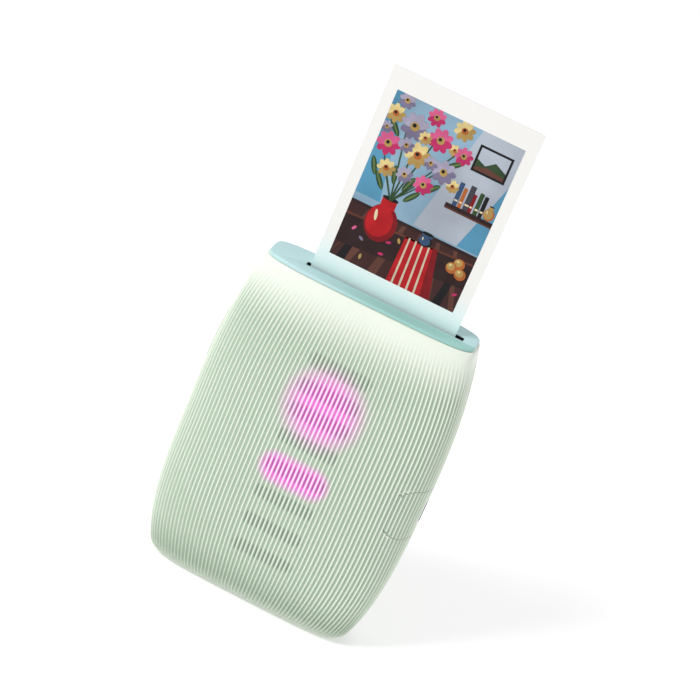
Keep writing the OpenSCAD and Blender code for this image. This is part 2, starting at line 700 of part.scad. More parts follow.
// door
module film_door() color("honeydew") difference() {
  union() {
    intersection() {
      difference() {
        skin(13, cols / 2 - 13, [for (z = concat(mid_rows, [body_h - 15])) wall_row(z)], 18);
        for (z = [[hinge_z0 - move_gap, door_knuckle_z0], [door_knuckle_z1, hinge_z1 + move_gap]])
          rod_z(hinge_x, hinge_y, z[0], z[1], knuckle_d / 2 + move_gap);
      }
      opening(0);
    }
    rod_z(hinge_x, hinge_y, door_knuckle_z0, door_knuckle_z1, knuckle_d / 2);
    // ribs for the latch guide
    for (z = [latch_z - guide_half - guide_wall, latch_z + guide_half])
      translate([0, 0, z]) linear_extrude(guide_wall)
        polygon([[guide_x0, guide_y1], [guide_x1, guide_y1],
                 [guide_x1, core_y(guide_x1, z)], [guide_x0, core_y(guide_x0, z)]]);
    // posts for the pressure springs
    for (x = spring_xs) for (z = [door_spring_z - door_spring_half + 0.5, door_spring_z + door_spring_half - 0.5])
      block(x - door_spring_w / 2, x + door_spring_w / 2, door_spring_end,
            core_y(abs(x) + door_spring_w / 2, z), z - post_t / 2, z + post_t / 2);
  }
  rod_z(hinge_x, hinge_y, door_knuckle_z0 - 1, door_knuckle_z1 + 1, door_pin_d / 2 + run);
  plate_y(window_x, window_z, window_w, window_h, window_r, window_y - wall, body_d);
  plate_y(latch_x + latch_travel / 2, latch_z, latch_w + latch_travel + 2 * move_gap, latch_h + 2 * move_gap,
          latch_r + move_gap, latch_y1 + move_gap, body_d);
}
post_t = 1.6;
window_r = 2;
latch_r = 1;

module film_window() color("dimgray", 0.6)
  plate_y(window_x, window_z, window_w, window_h, window_r, window_y, window_y + window_t);

module door_latch() color("silver") {
  half_flange = latch_w / 2 + latch_flange;
  ridge = 0.5;
  block(latch_x - half_flange, latch_x + half_flange, latch_y0, latch_y1,
        latch_z - latch_h / 2 - latch_flange, latch_z + latch_h / 2 + latch_flange);
  block(latch_x + half_flange, tongue_end, latch_y0, latch_y1, latch_z - tongue_h / 2, latch_z + tongue_h / 2);
  plate_y(latch_x, latch_z, latch_w, latch_h, latch_r, latch_y1, latch_face - ridge);
  for (dx = [-2, 0, 2])
    block(latch_x + dx - 0.4, latch_x + dx + 0.4, latch_face - ridge, latch_face,
          latch_z - latch_h / 2 + 2, latch_z + latch_h / 2 - 2);
}

module latch_guide() color("lightgray") {
  end = guide_half + guide_wall;
  block(guide_x0, guide_x1, guide_y0, guide_y0 + guide_floor, latch_z - end, latch_z + end);
  for (z = [latch_z - end, latch_z + guide_half])
    block(guide_x0, guide_x1, guide_y0 + guide_floor, guide_y1, z, z + guide_wall);
}

// angle on the chamber's wall that the tongue slides behind
module latch_keeper() color("silver") {
  y1 = latch_y1 + move_gap + keeper_t;
  z0 = latch_z - tongue_h / 2 - 0.5;
  z1 = latch_z + tongue_h / 2 + 0.5;
  block(keeper_x1 - keeper_reach, keeper_x1, y1 - keeper_t, y1, z0, z1);
  block(keeper_x1 - keeper_t, keeper_x1, chamber_y0, y1, z0, z1);
}

module door_pin() color("silver")
  rod_z(hinge_x, hinge_y, hinge_z0, hinge_z1, door_pin_d / 2);

module door_springs() color("silver")
  for (x = spring_xs)
    leaf(x - door_spring_w / 2, x + door_spring_w / 2, door_spring_z, door_spring_half,
         door_spring_end, pack_y1 + move_gap, 0.3);

// chassis and film
module chassis() color("darkslategray") difference() {
  union() {
    block(chassis_x0, chassis_x1, chassis_front, chassis_back, chassis_z0, chassis_top);
    block(chassis_x0, chassis_x1, chassis_front, chassis_rear, chassis_z0, pack_z);
    for (x = [chassis_x0, chassis_x1 - chassis_wall])
      block(x, x + chassis_wall, chassis_front, chassis_rear, chassis_z0, chassis_top);
    // ears for the screws
    for (f = chassis_fix)
      block(min(f[0] - boss_d / 2, chassis_x1 - 1), max(f[0] + boss_d / 2, chassis_x0 + 1),
            chassis_front, chassis_back, f[1] - ear_half, f[1] + ear_half);
    // arm of the switch board
    block(switch_x - 0.3, chassis_x0 + 1, chassis_front, chassis_back, switch_z0, switch_z1);
    for (f = board_fix) rod_y(f[0], board_y1, chassis_front + 0.1, f[1], 1.7);
    port_shelf(chassis_x1 - 0.5, port_shelf_x1);
    // guides and spring stop of the pick claw
    for (z = [claw_z0 + 3.5, claw_z0 + 9])
      block(claw_x0 - move_gap - chassis_wall, chassis_x0 + 0.1, -claw_rail, claw_rail, z, z + 2);
    block(claw_x0 - 0.5, chassis_x0 + 0.1, -1.8, 1.8, claw_stop, claw_stop + chassis_wall);
  }
  block(claw_x0 - move_gap, chassis_x0, -claw_w / 2 - move_gap, claw_w / 2 + move_gap, chassis_z0, claw_stop - claw_travel);
  block(chassis_x0 - 1, chassis_x0 + chassis_wall + 0.1, film_y - path_gap, film_y + path_gap,
        finger_z0 - move_gap, finger_z0 + finger_h + claw_travel + move_gap);
  // room for the motor
  block(motor_x0 - 0.1, motor_x0 + motor_len + move_gap, chassis_front - 1, chassis_back + 0.1,
        motor_z - motor_d / 2 - 0.5, chassis_top + 1);
  for (f = chassis_fix) rod_y(f[0], chassis_front - 1, chassis_back + 1, f[1], screw_d / 2);
  for (f = board_fix) rod_y(f[0], board_y1 - 1, chassis_back + 1, f[1], screw_d / 2);
}
ear_half = 4;
claw_rail = claw_w / 2 + move_gap + 0.8;

module cover_screws() color("dimgray")
  for (f = cover_fix) screw(f[0], f[1], lug_y0 + lug_t, 6, 1);
module chassis_screws() color("dimgray")
  for (f = chassis_fix) screw(f[0], f[1], chassis_back, 5, 1);
module board_screws() color("dimgray")
  for (f = board_fix) screw(f[0], f[1], board_y0, 3.4, -1);

module film_pack() color("black") difference() {
  block(pack_x0, pack_x1, pack_y0, pack_y1, pack_z, pack_top);
  block(pack_x0 + pack_wall, pack_x1 - pack_wall, pack_y0 + pack_wall, pack_y1 - pack_wall,
        pack_z + pack_wall, pack_top - pack_wall);
  // picture window, the slit that the film leaves by, and the slit of the claw
  block(film_x - image_w / 2 - 1, film_x + image_w / 2 + 1, pack_y0 - 1, pack_y0 + pack_wall + 0.1,
        pack_z + pack_h / 2 - image_h / 2, pack_z + pack_h / 2 + image_h / 2);
  block(film_x0 - path_gap, film_x1 + path_gap, film_y - path_gap, film_y + path_gap,
        pack_top - pack_wall - 1, pack_top + 1);
  block(pack_x0 - 1, pack_x0 + pack_wall + 0.1, film_y - path_gap, film_y + path_gap,
        finger_z0 - move_gap, finger_z0 + finger_h + claw_travel + move_gap);
}

module film_stack() color("whitesmoke")
  block(film_x0, film_x1, stack_y0, stack_y1, pack_z + pack_wall, pack_z + pack_wall + film_h);

module pack_spring() color("silver")
  leaf(film_x - 16, film_x + 16, pack_z + pack_h / 2, 30, pack_y1 - pack_wall, stack_y1, 0.4);

module film_print() color("white") difference() {
  block(film_x0, film_x1, film_front, film_back, film_bottom, film_bottom + film_h);
  block(film_x - image_w / 2, film_x + image_w / 2, film_front - 1, film_front + 0.05,
        film_bottom + film_h - image_top - image_h, film_bottom + film_h - image_top);
}

// rollers and gears
module roller_frame() color("gray") difference() {
  union() {
    for (x = [frame_x0 - frame_t, frame_x1]) {
      block(x, x + frame_t, press_y - roller_d / 2 + 0.85, drive_y + roller_d / 2 + 0.85, chassis_top, roller_z + 2);
      block(x, x + frame_t, -foot_half - 1.2, foot_half + 1.2, roller_z, frame_top);
    }
    // bar behind the film, facing the print head
    block(frame_x0 - 0.1, frame_x1 + 0.1, film_y + path_gap, film_y + path_gap + 2, head_z0, head_z0 + head_h);
  }
  for (y = [drive_y, press_y])
    rod_x(frame_x0 - frame_t - 1, frame_x1 + frame_t + 1, y, roller_z, shaft_d / 2 + run);
  rod_x(frame_x0 - frame_t - 1, frame_x0 + 1, idler_y, idler_z, shaft_d / 2);
}

module roller(y, x0, x1) {
  rod_x(film_x - roller_half, film_x + roller_half, y, roller_z, roller_d / 2);
  rod_x(frame_x0 + move_gap, frame_x1 - move_gap, y, roller_z, roller_d / 2 - 1);
  rod_x(x0, x1, y, roller_z, shaft_d / 2);
}
module drive_roller() color("dimgray") roller(drive_y, gear_x0 - 0.2, frame_x1 + frame_t + 0.5);
module pressure_roller() color("darkgray") roller(press_y, frame_x0 - frame_t - 0.5, frame_x1 + frame_t + 0.5);

module roller_springs() color("silver") {
  blade = 0.25;
  y1 = press_y - shaft_d / 2 - roller_gap;
  for (x = [frame_x0 - frame_t - 0.5, frame_x1 + frame_t])
    block(x, x + 0.5, y1 - blade, y1, roller_z - 8, roller_z + 1);
}

// gear with straight-flanked teeth, in the depth-height plane, a tooth centred at the phase angle
module gear(y, z, teeth, phase, bore) {
  r = gear_module * teeth / 2;
  root = r - 1.2 * gear_module;
  tip = r + 0.85 * gear_module;
  step = 360 / teeth;
  points = [for (i = [0:teeth - 1]) for (p = [[root, -0.3], [tip, -0.1], [tip, 0.1], [root, 0.3]])
    let (a = (i + p[1]) * step) [p[0] * cos(a), p[0] * sin(a)]];
  translate([gear_x0, y, z]) rotate([90, 0, 90]) linear_extrude(gear_t) difference() {
    rotate(phase) polygon(points);
    circle(bore);
  }
}
to_pinion = atan2(motor_z - idler_z, motor_y - idler_y);
to_roller = atan2(roller_z - idler_z, drive_y - idler_y);
// phase that brings a gap where the idler has a tooth
function meshed(dir, teeth) = dir + 180 + dir * idler_teeth / teeth + 180 / teeth;

module roller_gear() color("ivory")
  gear(drive_y, roller_z, roller_teeth, meshed(to_roller, roller_teeth), shaft_d / 2);
module idler_gear() color("ivory")
  gear(idler_y, idler_z, idler_teeth, 0, shaft_d / 2 + run);
module idler_pin() color("silver") {
  head_x = gear_x0 - move_gap;
  rod_x(head_x, frame_x0 - 0.2, idler_y, idler_z, shaft_d / 2);
  rod_x(head_x - 0.8, head_x, idler_y, idler_z, 1.8);
}
module motor_pinion() color("gold")
  gear(motor_y, motor_z, pinion_teeth, meshed(to_pinion, pinion_teeth), motor_shaft_d / 2);
module motor_shaft() color("silver")
  rod_x(gear_x0 - 0.2, motor_x0 + 3, motor_y, motor_z, motor_shaft_d / 2);
module motor() color("silver") difference() {
  neck = 1.5;
  union() {
    rod_x(motor_x0, motor_x0 + motor_len - neck, motor_y, motor_z, motor_d / 2);
    rod_x(motor_x0 + motor_len - neck - 0.1, motor_x0 + motor_len, motor_y, motor_z, motor_d / 2 - 0.8);
  }
  rod_x(motor_x0 - 1, motor_x0 + 3.2, motor_y, motor_z, motor_shaft_d / 2 + run);
}
module gear_bracket() color("darkslategray") difference() {
  block(chassis_x0, motor_x0, motor_y0 + 0.3, chassis_front, motor_z - motor_d / 2 - 0.2, chassis_top);
  rod_x(chassis_x0 - 1, motor_x0 + 1, motor_y, motor_z, motor_shaft_d / 2 + 0.5);
}

module print_head() color("darkolivegreen") difference() {
  block(frame_x0, frame_x1, head_y0, head_y0 + head_t, head_z0, head_z0 + head_h);
  block(film_x - image_w / 2, film_x + image_w / 2, film_front - head_gap - 0.4, film_front, head_z0 + 2.5, head_z0 + 3.5);
}
module head_lead() color("orange") {
  lead_t = 0.2;
  x0 = film_x + 8.7;
  z1 = head_z0 + 2;
  block(x0, x0 + 10, board_y0 - lead_t, board_y0, board_z1 - 6, z1);
  block(x0, x0 + 10, board_y0 - lead_t, head_y0, z1 - lead_t, z1);
}

module pick_claw() color("lightgray") {
  block(claw_x0, claw_x1, -claw_w / 2, claw_w / 2, claw_z0, claw_z0 + claw_h);
  block(claw_x1 - 0.1, film_x0 + 3, film_y - path_gap / 2, film_y + path_gap / 2, finger_z0, finger_z0 + finger_h);
}
module claw_spring() color("silver")
  coil((claw_x0 + claw_x1) / 2, 0, claw_z0 + claw_h, claw_stop, 0.9, 0.3, 5);

// boards, lights and battery
module main_board() color("seagreen") difference() {
  block(board_x0, board_x1, board_y0, board_y1, board_z0, board_z1);
  for (f = board_fix) rod_y(f[0], board_y0 - 1, board_y1 + 1, f[1], screw_d / 2 + fit);
}
// chips: [x, z, width, height, thickness], along the board's top, left and right edges
chips = [
  [board_x0 + 7.7, board_z1 - 12, 10, 10, 1], [film_x - 7.3, board_z1 - 12, 8, 8, 0.9],
  [film_x + 12.7, board_z1 - 12, 12, 5, 1.4], [board_x0 + 6.7, mid_z - 2.5, 5, 8, 0.8],
  [board_x0 + 6.7, mid_z - 22.5, 6, 5, 0.8], [board_x1 - 6.3, board_z1 - 16, 7, 12, 1],
  [board_x1 - 7.3, mid_z - 12.5, 6, 6, 0.9], [board_x1 - 6.3, mid_z - 28.5, 4, 7, 1.2]
];
module board_chips() color("black")
  for (c = chips)
    block(c[0] - c[2] / 2, c[0] + c[2] / 2, board_y0 - c[4], board_y0, c[1] - c[3] / 2, c[1] + c[3] / 2);
module battery() color("lightsteelblue")
  block(film_x - battery_w / 2, film_x + battery_w / 2, light_board_y1 + battery_gap, board_y0,
        battery_z0, battery_z1);

module light_board() color("white") difference() {
  block(light_x - light_board_w / 2, light_x + light_board_w / 2, light_board_y0, light_board_y1,
        light_board_z0, light_board_z1);
  for (z = light_pins) rod_y(light_x, light_board_y0 - 1, light_board_y1 + 1, z, pin_d / 2);
}
lamp_step = 5;
module lamp(x, z) {
  plate_y(x, z, 2, 2, 0.3, lamp_y0, light_board_y0);
}
module light_chips() color("violet") {
  for (a = [45:90:315]) lamp(light_x + lamp_step * cos(a), round_light_z + lamp_step * sin(a));
  for (i = [-1:1]) lamp(light_x + i * lamp_step, flat_light_z);
}
// four legs between a light guide and its board
module guide_legs(z, dz) {
  for (sx = [-1, 1]) for (sz = [-1, 1])
    rod_y(light_x + sx * (light_board_w / 2 - 1), lamp_y0 - 0.1, light_board_y0, z + sz * dz, 0.6);
}
module round_light() color("pink") {
  rod_y(light_x, lamp_y0 - guide_t, lamp_y0, round_light_z, round_light_d / 2);
  guide_legs(round_light_z, lamp_step + 2);
}
module flat_light() color("pink") {
  plate_y(light_x, flat_light_z, flat_light_w, flat_light_h, flat_light_h / 2 - 0.1, lamp_y0 - guide_t, lamp_y0);
  guide_legs(flat_light_z, flat_light_h / 2 - 2);
}

module port_board() color("seagreen")
  block(chassis_x1 + 0.5, port_shelf_x1, port_board_y, port_board_y + small_board_t,
        panel_z - port_board_h / 2, panel_z + port_board_h / 2);
module usb_socket() color("silver") difference() {
  x0 = socket_x1 - socket_len;
  shell = 0.3;
  plate_x(socket_y, panel_z, socket_w, socket_h, socket_w / 2 - 0.1, x0, socket_x1);
  difference() {
    plate_x(socket_y, panel_z, socket_w - 2 * shell, socket_h - 2 * shell, socket_w / 2 - shell - 0.1, x0 + 1, socket_x1 + 1);
    plate_x(socket_y, panel_z, 0.7, socket_h - 2.2, 0.3, x0, socket_x1 - 0.6);
  }
}
module switch_board() color("seagreen")
  block(switch_x, switch_x + small_board_t, chassis_back, button_y + 3.4, switch_z0, switch_z1);
module button_switch() color("dimgray") {
  block(switch_x - switch_t, switch_x, chassis_back + 0.2, button_y + 2, button_z - 2, button_z + 2);
  rod_x(switch_x - switch_t - plunger_t, switch_x - switch_t, button_y, button_z, 1);
}

front_cover();
rear_cover();
top_cap();
slot_felts();
port_panel();
power_button();
film_door();
film_window();
door_latch();
latch_guide();
latch_keeper();
door_pin();
door_springs();
chassis();
cover_screws();
chassis_screws();
film_pack();
film_stack();
pack_spring();
film_print();
roller_frame();
drive_roller();
pressure_roller();
roller_springs();
roller_gear();
idler_gear();
idler_pin();
motor_pinion();
motor_shaft();
motor();
gear_bracket();
print_head();
head_lead();
pick_claw();
claw_spring();
main_board();
board_chips();
board_screws();
battery();
light_board();
light_chips();
round_light();
flat_light();
port_board();
usb_socket();
switch_board();
button_switch();
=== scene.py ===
import math

import bmesh
import bpy
import numpy as np
from mathutils import Matrix, Vector


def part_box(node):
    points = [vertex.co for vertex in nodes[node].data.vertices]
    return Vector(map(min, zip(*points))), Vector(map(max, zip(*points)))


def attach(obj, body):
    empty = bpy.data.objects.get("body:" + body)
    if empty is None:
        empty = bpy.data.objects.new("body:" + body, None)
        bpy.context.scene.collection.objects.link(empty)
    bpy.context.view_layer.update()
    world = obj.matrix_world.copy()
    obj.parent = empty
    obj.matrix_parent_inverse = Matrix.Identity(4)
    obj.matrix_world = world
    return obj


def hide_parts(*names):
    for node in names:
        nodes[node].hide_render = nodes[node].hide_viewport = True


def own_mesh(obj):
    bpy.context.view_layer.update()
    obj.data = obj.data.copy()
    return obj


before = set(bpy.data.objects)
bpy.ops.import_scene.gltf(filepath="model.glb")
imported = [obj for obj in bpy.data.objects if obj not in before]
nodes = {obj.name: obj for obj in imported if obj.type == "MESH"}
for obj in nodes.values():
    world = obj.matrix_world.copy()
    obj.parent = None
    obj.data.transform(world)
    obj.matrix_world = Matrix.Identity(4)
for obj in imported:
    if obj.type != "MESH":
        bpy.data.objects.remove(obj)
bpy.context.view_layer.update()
mm = 0.001

cameraSetup = {
    "azimuth": 6.709,
    "elevation": 27.626,
    "roll": 23.476,
    "distance": 832.64 * mm,
    "target": (0, 0, 62.57 * mm),
    "targetPixel": (309.55, 446.01),
    "imageSize": 700,
    "focalPixels": 2408.2,
    "sensor": 36.0,
    "clip": (0.05, 20),
}


def makeCamera(c):
    azimuth, elevation, roll = (math.radians(c[k]) for k in ("azimuth", "elevation", "roll"))
    level = math.cos(elevation)
    back = Vector((math.sin(azimuth) * level, -math.cos(azimuth) * level, math.sin(elevation)))
    right = Vector((math.cos(azimuth), math.sin(azimuth), 0))
    up = back.cross(right)
    # the camera is rolled, so that the printer leans clockwise
    across = right * math.cos(roll) + up * math.sin(roll)
    down = right * math.sin(roll) - up * math.cos(roll)
    # turn the camera so that the target falls on its pixel
    seen = [(pixel - c["imageSize"] / 2) / c["focalPixels"] for pixel in c["targetPixel"]]
    turn = Vector((0, 0, 1)).rotation_difference(Vector((*seen, 1))).to_matrix()
    toCamera = turn @ Matrix((across, down, -back))
    camera = bpy.data.objects.new("camera", bpy.data.cameras.new("camera"))
    bpy.context.scene.collection.objects.link(camera)
    camera.data.sensor_width = c["sensor"]
    camera.data.lens = c["focalPixels"] / c["imageSize"] * c["sensor"]
    camera.data.clip_start, camera.data.clip_end = c["clip"]
    facing = Matrix((toCamera[0], -toCamera[1], -toCamera[2])).transposed().to_4x4()
    camera.matrix_world = Matrix.Translation(Vector(c["target"]) + back * c["distance"]) @ facing
    bpy.context.scene.camera = camera


makeCamera(cameraSetup)
print("stage: camera")


# an sRGB colour from 0 to 255 as linear values
def colour(r, g, b):
    def channel(v):
        v /= 255
        return v / 12.92 if v <= 0.04045 else ((v + 0.055) / 1.055) ** 2.4

    return (channel(r), channel(g), channel(b), 1)


# a colour made lighter or darker
def toned(base, factor, lift=0.0):
    return tuple(min(1, c * factor + lift) for c in base[:3]) + (1,)


# a material's node tree with short calls for the nodes used here
class Nodes:
    def __init__(self, name):
        self.material = bpy.data.materials.new(name)
        self.material.use_nodes = True
        self.tree = self.material.node_tree
        self.tree.nodes.clear()
        self.out = self.add("OutputMaterial")
        self.shader = self.add("BsdfPrincipled")
        self.link(self.shader.outputs[0], self.out.inputs[0])

    def add(self, kind):
        return self.tree.nodes.new("ShaderNode" + kind)

    def link(self, output, socket):
        self.tree.links.new(output, socket)

    def put(self, socket, value):
        if isinstance(value, bpy.types.NodeSocket):
            self.link(value, socket)
        else:
            socket.default_value = value

    # sockets of the shader by name, with _ for a space
    def set(self, **values):
        for name, value in values.items():
            self.put(self.shader.inputs[name.replace("_", " ")], value)

    def math(self, kind, a, b=0.0):
        node = self.add("Math")
        node.operation = kind
        self.put(node.inputs[0], a)
        self.put(node.inputs[1], b)
        return node.outputs[0]

    def times(self, first, *others):
        for value in others:
            first = self.math("MULTIPLY", first, value)
        return first

    def highest(self, first, *others):
        for value in others:
            first = self.math("MAXIMUM", first, value)
        return first

    # length of the slope over two sides at a right angle
    def slope(self, a, b):
        return self.math("SQRT", self.math("ADD", self.times(a, a), self.times(b, b)))

    def place(self):
        return self.add("TexCoord").outputs["Object"]

    def xyz(self):
        node = self.add("SeparateXYZ")
        self.link(self.place(), node.inputs[0])
        return node.outputs

    def attribute(self, name):
        node = self.add("Attribute")
        node.attribute_name = name
        return node.outputs["Fac"]

    def noise(self, scale, detail=3.0, rough=0.5, vector=None):
        node = self.add("TexNoise")
        node.inputs["Scale"].default_value = scale
        node.inputs["Detail"].default_value = detail
        node.inputs["Roughness"].default_value = rough
        self.link(vector or self.place(), node.inputs["Vector"])
        return node.outputs["Fac"]

    def stretched(self, scales):
        node = self.add("Mapping")
        node.inputs["Scale"].default_value = scales
        self.link(self.place(), node.inputs["Vector"])
        return node.outputs[0]

    def ramp(self, value, low, high, start=0.0, end=1.0):
        node = self.add("MapRange")
        node.interpolation_type = "SMOOTHSTEP"
        self.put(node.inputs["Value"], value)
        node.inputs["From Min"].default_value = low
        node.inputs["From Max"].default_value = high
        node.inputs["To Min"].default_value = start
        node.inputs["To Max"].default_value = end
        return node.outputs["Result"]

    # a ramp between two places, in millimetres
    def fade(self, value, span, start=0.0, end=1.0):
        return self.ramp(value, span[0] * mm, span[1] * mm, start, end)

    # soft patches that wander from low to high
    def patches(self, scale, low=0.0, high=1.0, detail=2, spread=0.2):
        return self.ramp(self.noise(scale, detail), 0.5 - spread, 0.5 + spread, low, high)

    def mix(self, amount, a, b):
        node = self.add("Mix")
        node.data_type = "RGBA"
        self.put(node.inputs["Factor"], amount)
        self.put(node.inputs["A"], a)
        self.put(node.inputs["B"], b)
        return node.outputs["Result"]

    # 0 where the surface faces the viewer, 1 where it is seen edge on
    def grazing(self):
        node = self.add("LayerWeight")
        node.inputs["Blend"].default_value = 0.5
        return node.outputs["Facing"]

    def bump(self, height, distance, strength):
        node = self.add("Bump")
        node.inputs["Distance"].default_value = distance
        node.inputs["Strength"].default_value = strength
        self.link(height, node.inputs["Height"])
        self.link(node.outputs[0], self.shader.inputs["Normal"])


moulding = {"driftScale": 60, "glossScale": 150, "gloss": (0.92, 1.12), "grainStrength": 0.4}


# moulded plastic: slight colour drift, uneven gloss and a fine grain
def plastic(name, base, rough=0.4, vary=0.06, grain=4000, depth=0.02 * mm):
    n = Nodes(name)
    m = moulding
    shiny, matt = (rough * factor for factor in m["gloss"])
    n.set(Base_Color=n.mix(n.patches(m["driftScale"]), toned(base, 1 - vary), base))
    n.set(Roughness=n.patches(m["glossScale"], shiny, matt, spread=0.3))
    n.bump(n.noise(grain, 2), depth, m["grainStrength"])
    return n.material


brushing = {
    "grain": 1500,
    "detail": 4,
    "rough": 0.6,
    "dark": 0.82,
    "toneEdge": (0.3, 0.7),
    "glossEdge": (0.25, 0.75),
    "gloss": (-0.08, 0.1),
    "depth": 0.01 * mm,
    "strength": 0.3,
}


# metal with scratches that run along the axis with the smallest scale
def metal(name, base, rough=0.28, brushed=(1, 1, 1)):
    n = Nodes(name)
    b = brushing
    streaks = n.noise(b["grain"], b["detail"], b["rough"], n.stretched(brushed))
    shiny, matt = (rough + change for change in b["gloss"])
    n.set(Base_Color=n.mix(n.ramp(streaks, *b["toneEdge"]), toned(base, b["dark"]), base))
    n.set(Roughness=n.ramp(streaks, *b["glossEdge"], shiny, matt), Metallic=1)
    n.bump(streaks, b["depth"], b["strength"])
    return n.material


smoothBelow = 35  # degrees between faces that still shade as one


def addObject(name, verts, faces, material, angle=smoothBelow):
    mesh = bpy.data.meshes.new(name)
    mesh.from_pydata([tuple(v) for v in verts], [], [tuple(f) for f in faces])
    mesh.update()
    obj = bpy.data.objects.new(name, mesh)
    bpy.context.scene.collection.objects.link(obj)
    if material:
        mesh.materials.append(material)
    shade(obj, angle)
    return obj


def shade(obj, angle):
    obj.data.polygons.foreach_set("use_smooth", [True] * len(obj.data.polygons))
    obj.data.set_sharp_from_angle(angle=math.radians(angle))


# points of a rounded rectangle, counterclockwise
def roundedLoop(w, h, r, steps=8):
    x, y = w / 2 - r, h / 2 - r
    points = []
    for cx, cy, start in ((x, y, 0), (-x, y, 90), (-x, -y, 180), (x, -y, 270)):
        for i in range(steps + 1):
            a = math.radians(start + 90 * i / steps)
            points.append((cx + r * math.cos(a), cy + r * math.sin(a)))
    return points


# extrudes a loop: place(u, v, t) maps it, t is 0 at one end and 1 at the other
def prism(name, loop, place, material=None):
    n = len(loop)
    verts = [place(u, v, 0) for u, v in loop] + [place(u, v, 1) for u, v in loop]
    faces = [list(range(n))[::-1], list(range(n, 2 * n))]
    faces += [[i, (i + 1) % n, n + (i + 1) % n, n + i] for i in range(n)]
    obj = addObject(name, verts, faces, material)
    fixNormals(obj)
    return obj


def fixNormals(obj):
    bm = bmesh.new()
    bm.from_mesh(obj.data)
    bmesh.ops.recalc_face_normals(bm, faces=bm.faces)
    bm.to_mesh(obj.data)
    bm.free()


def bevelEdges(obj, width, segments=2, angle=40):
    m = obj.modifiers.new("edge", "BEVEL")
    m.width = width
    m.segments = segments
    m.limit_method = "ANGLE"
    m.angle_limit = math.radians(angle)
    applyModifiers(obj)
    shade(obj, smoothBelow)


def applyModifiers(obj):
    deps = bpy.context.evaluated_depsgraph_get()
    shown = obj.evaluated_get(deps)
    mesh = bpy.data.meshes.new_from_object(shown, preserve_all_data_layers=True, depsgraph=deps)
    obj.modifiers.clear()
    obj.data = mesh


# cuts the cutter out, or keeps what lies inside it, and removes the cutter
def cut(obj, cutter, operation="DIFFERENCE"):
    m = obj.modifiers.new("cut", "BOOLEAN")
    m.operation = operation
    m.solver = "MANIFOLD"
    m.object = cutter
    applyModifiers(obj)
    bpy.data.objects.remove(cutter)


# a block between two places on each axis, in millimetres
def mmBox(name, x, y, z, material=None):
    loop = [(x[1], y[1]), (x[0], y[1]), (x[0], y[0]), (x[1], y[0])]
    return prism(name, loop, lambda u, v, t: (u * mm, v * mm, (z[0] + t * (z[1] - z[0])) * mm), material)


# a round bar from a start along +Y or +Z, in millimetres
def mmRod(name, axis, start, length, radius, sides=32):
    x, y, z = (v * mm for v in start)
    length, radius = length * mm, radius * mm
    angles = [2 * math.pi * i / sides for i in range(sides)]
    place = {
        "y": lambda u, v, t: (x + u, y + t * length, z + v),
        "z": lambda u, v, t: (x + u, y + v, z + t * length),
    }[axis]
    return prism(name, [(radius * math.cos(a), radius * math.sin(a)) for a in angles], place)


# a rounded plate seen from the front, with its middle at x and z, between two depths
def frontPlate(name, x, z, w, h, r, y0, y1):
    loop = roundedLoop(w, h, r)
    return prism(name, loop, lambda u, v, t: ((x + u) * mm, (y0 + t * (y1 - y0)) * mm, (z + v) * mm))


# the same seen from the side, with its middle at y and z
def sidePlate(name, y, z, w, h, r, x0, x1):
    loop = roundedLoop(w, h, r)
    return prism(name, loop, lambda u, v, t: ((x0 + t * (x1 - x0)) * mm, (y + u) * mm, (z + v) * mm))


# joins meshes into the first one
def joinAll(name, objs, material):
    first = objs[0]
    with bpy.context.temp_override(
        active_object=first, object=first, selected_objects=objs, selected_editable_objects=objs
    ):
        bpy.ops.object.join()
    first.name = name
    first.data.materials.clear()
    first.data.materials.append(material)
    return first


body = {
    "width": 90.26,
    "depth": 37.3,
    "height": 125,
    "topWidth": 76.7,
    "topDepth": 18.4,
    "baseWidth": 74.6,
    "baseDepth": 20.6,
    "midHeight": 62.5,
    "widthPowers": (2.5, 3.75),  # how late the width narrows, upwards and downwards
    "depthPowers": (2.34, 2.05),
    "squareness": (2.54, 2, 1.75),  # in the middle, and what the top and the base add
    "baseRadius": 5.2,
    "baseSteps": 9,
    "wall": 1.8,
    "ribsQuarter": 34,
    "groove": 0.5,
    "ridgeTop": 0.03,
    "ridgeSide": 0.27,
    "valleyShape": 5,  # a higher power gives a thinner line along a groove
    "plainBand": 3,
    "ribFade": 19,
    "samplesPerRib": 8,
    "sectionPoints": 241,
    "rowStep": 1.6,
    "partingColumns": 5,
    "baseEdge": 1,  # the base's last line is shorter by this at each end
    "baseTuck": 0.6,  # and lies this far past the parting line
    "rim": 123.55,
    "rimRound": 0.25,
    "smoothBelow": 72,  # the ribs shade as round, the rims stay sharp
}
cols = 8 * body["ribsQuarter"]


# how far z lies above and below the widest section, from 0 to 1
def aboveAndBelow(z):
    b = body
    up = max(0, (z - b["midHeight"]) / (b["height"] - b["midHeight"]))
    down = max(0, (b["midHeight"] - z) / b["midHeight"])
    return up, down


def halfSpan(z, full, top, base, powers):
    up, down = aboveAndBelow(z)
    return full / 2 - (full - top) / 2 * up ** powers[0] - (full - base) / 2 * down ** powers[1]


def halfWidth(z):
    b = body
    return halfSpan(z, b["width"], b["topWidth"], b["baseWidth"], b["widthPowers"])


def halfDepth(z):
    b = body
    return halfSpan(z, b["depth"], b["topDepth"], b["baseDepth"], b["depthPowers"])


def squareness(z):
    up, down = aboveAndBelow(z)
    middle, top, base = body["squareness"]
    return middle + top * up**2 + base * down**2


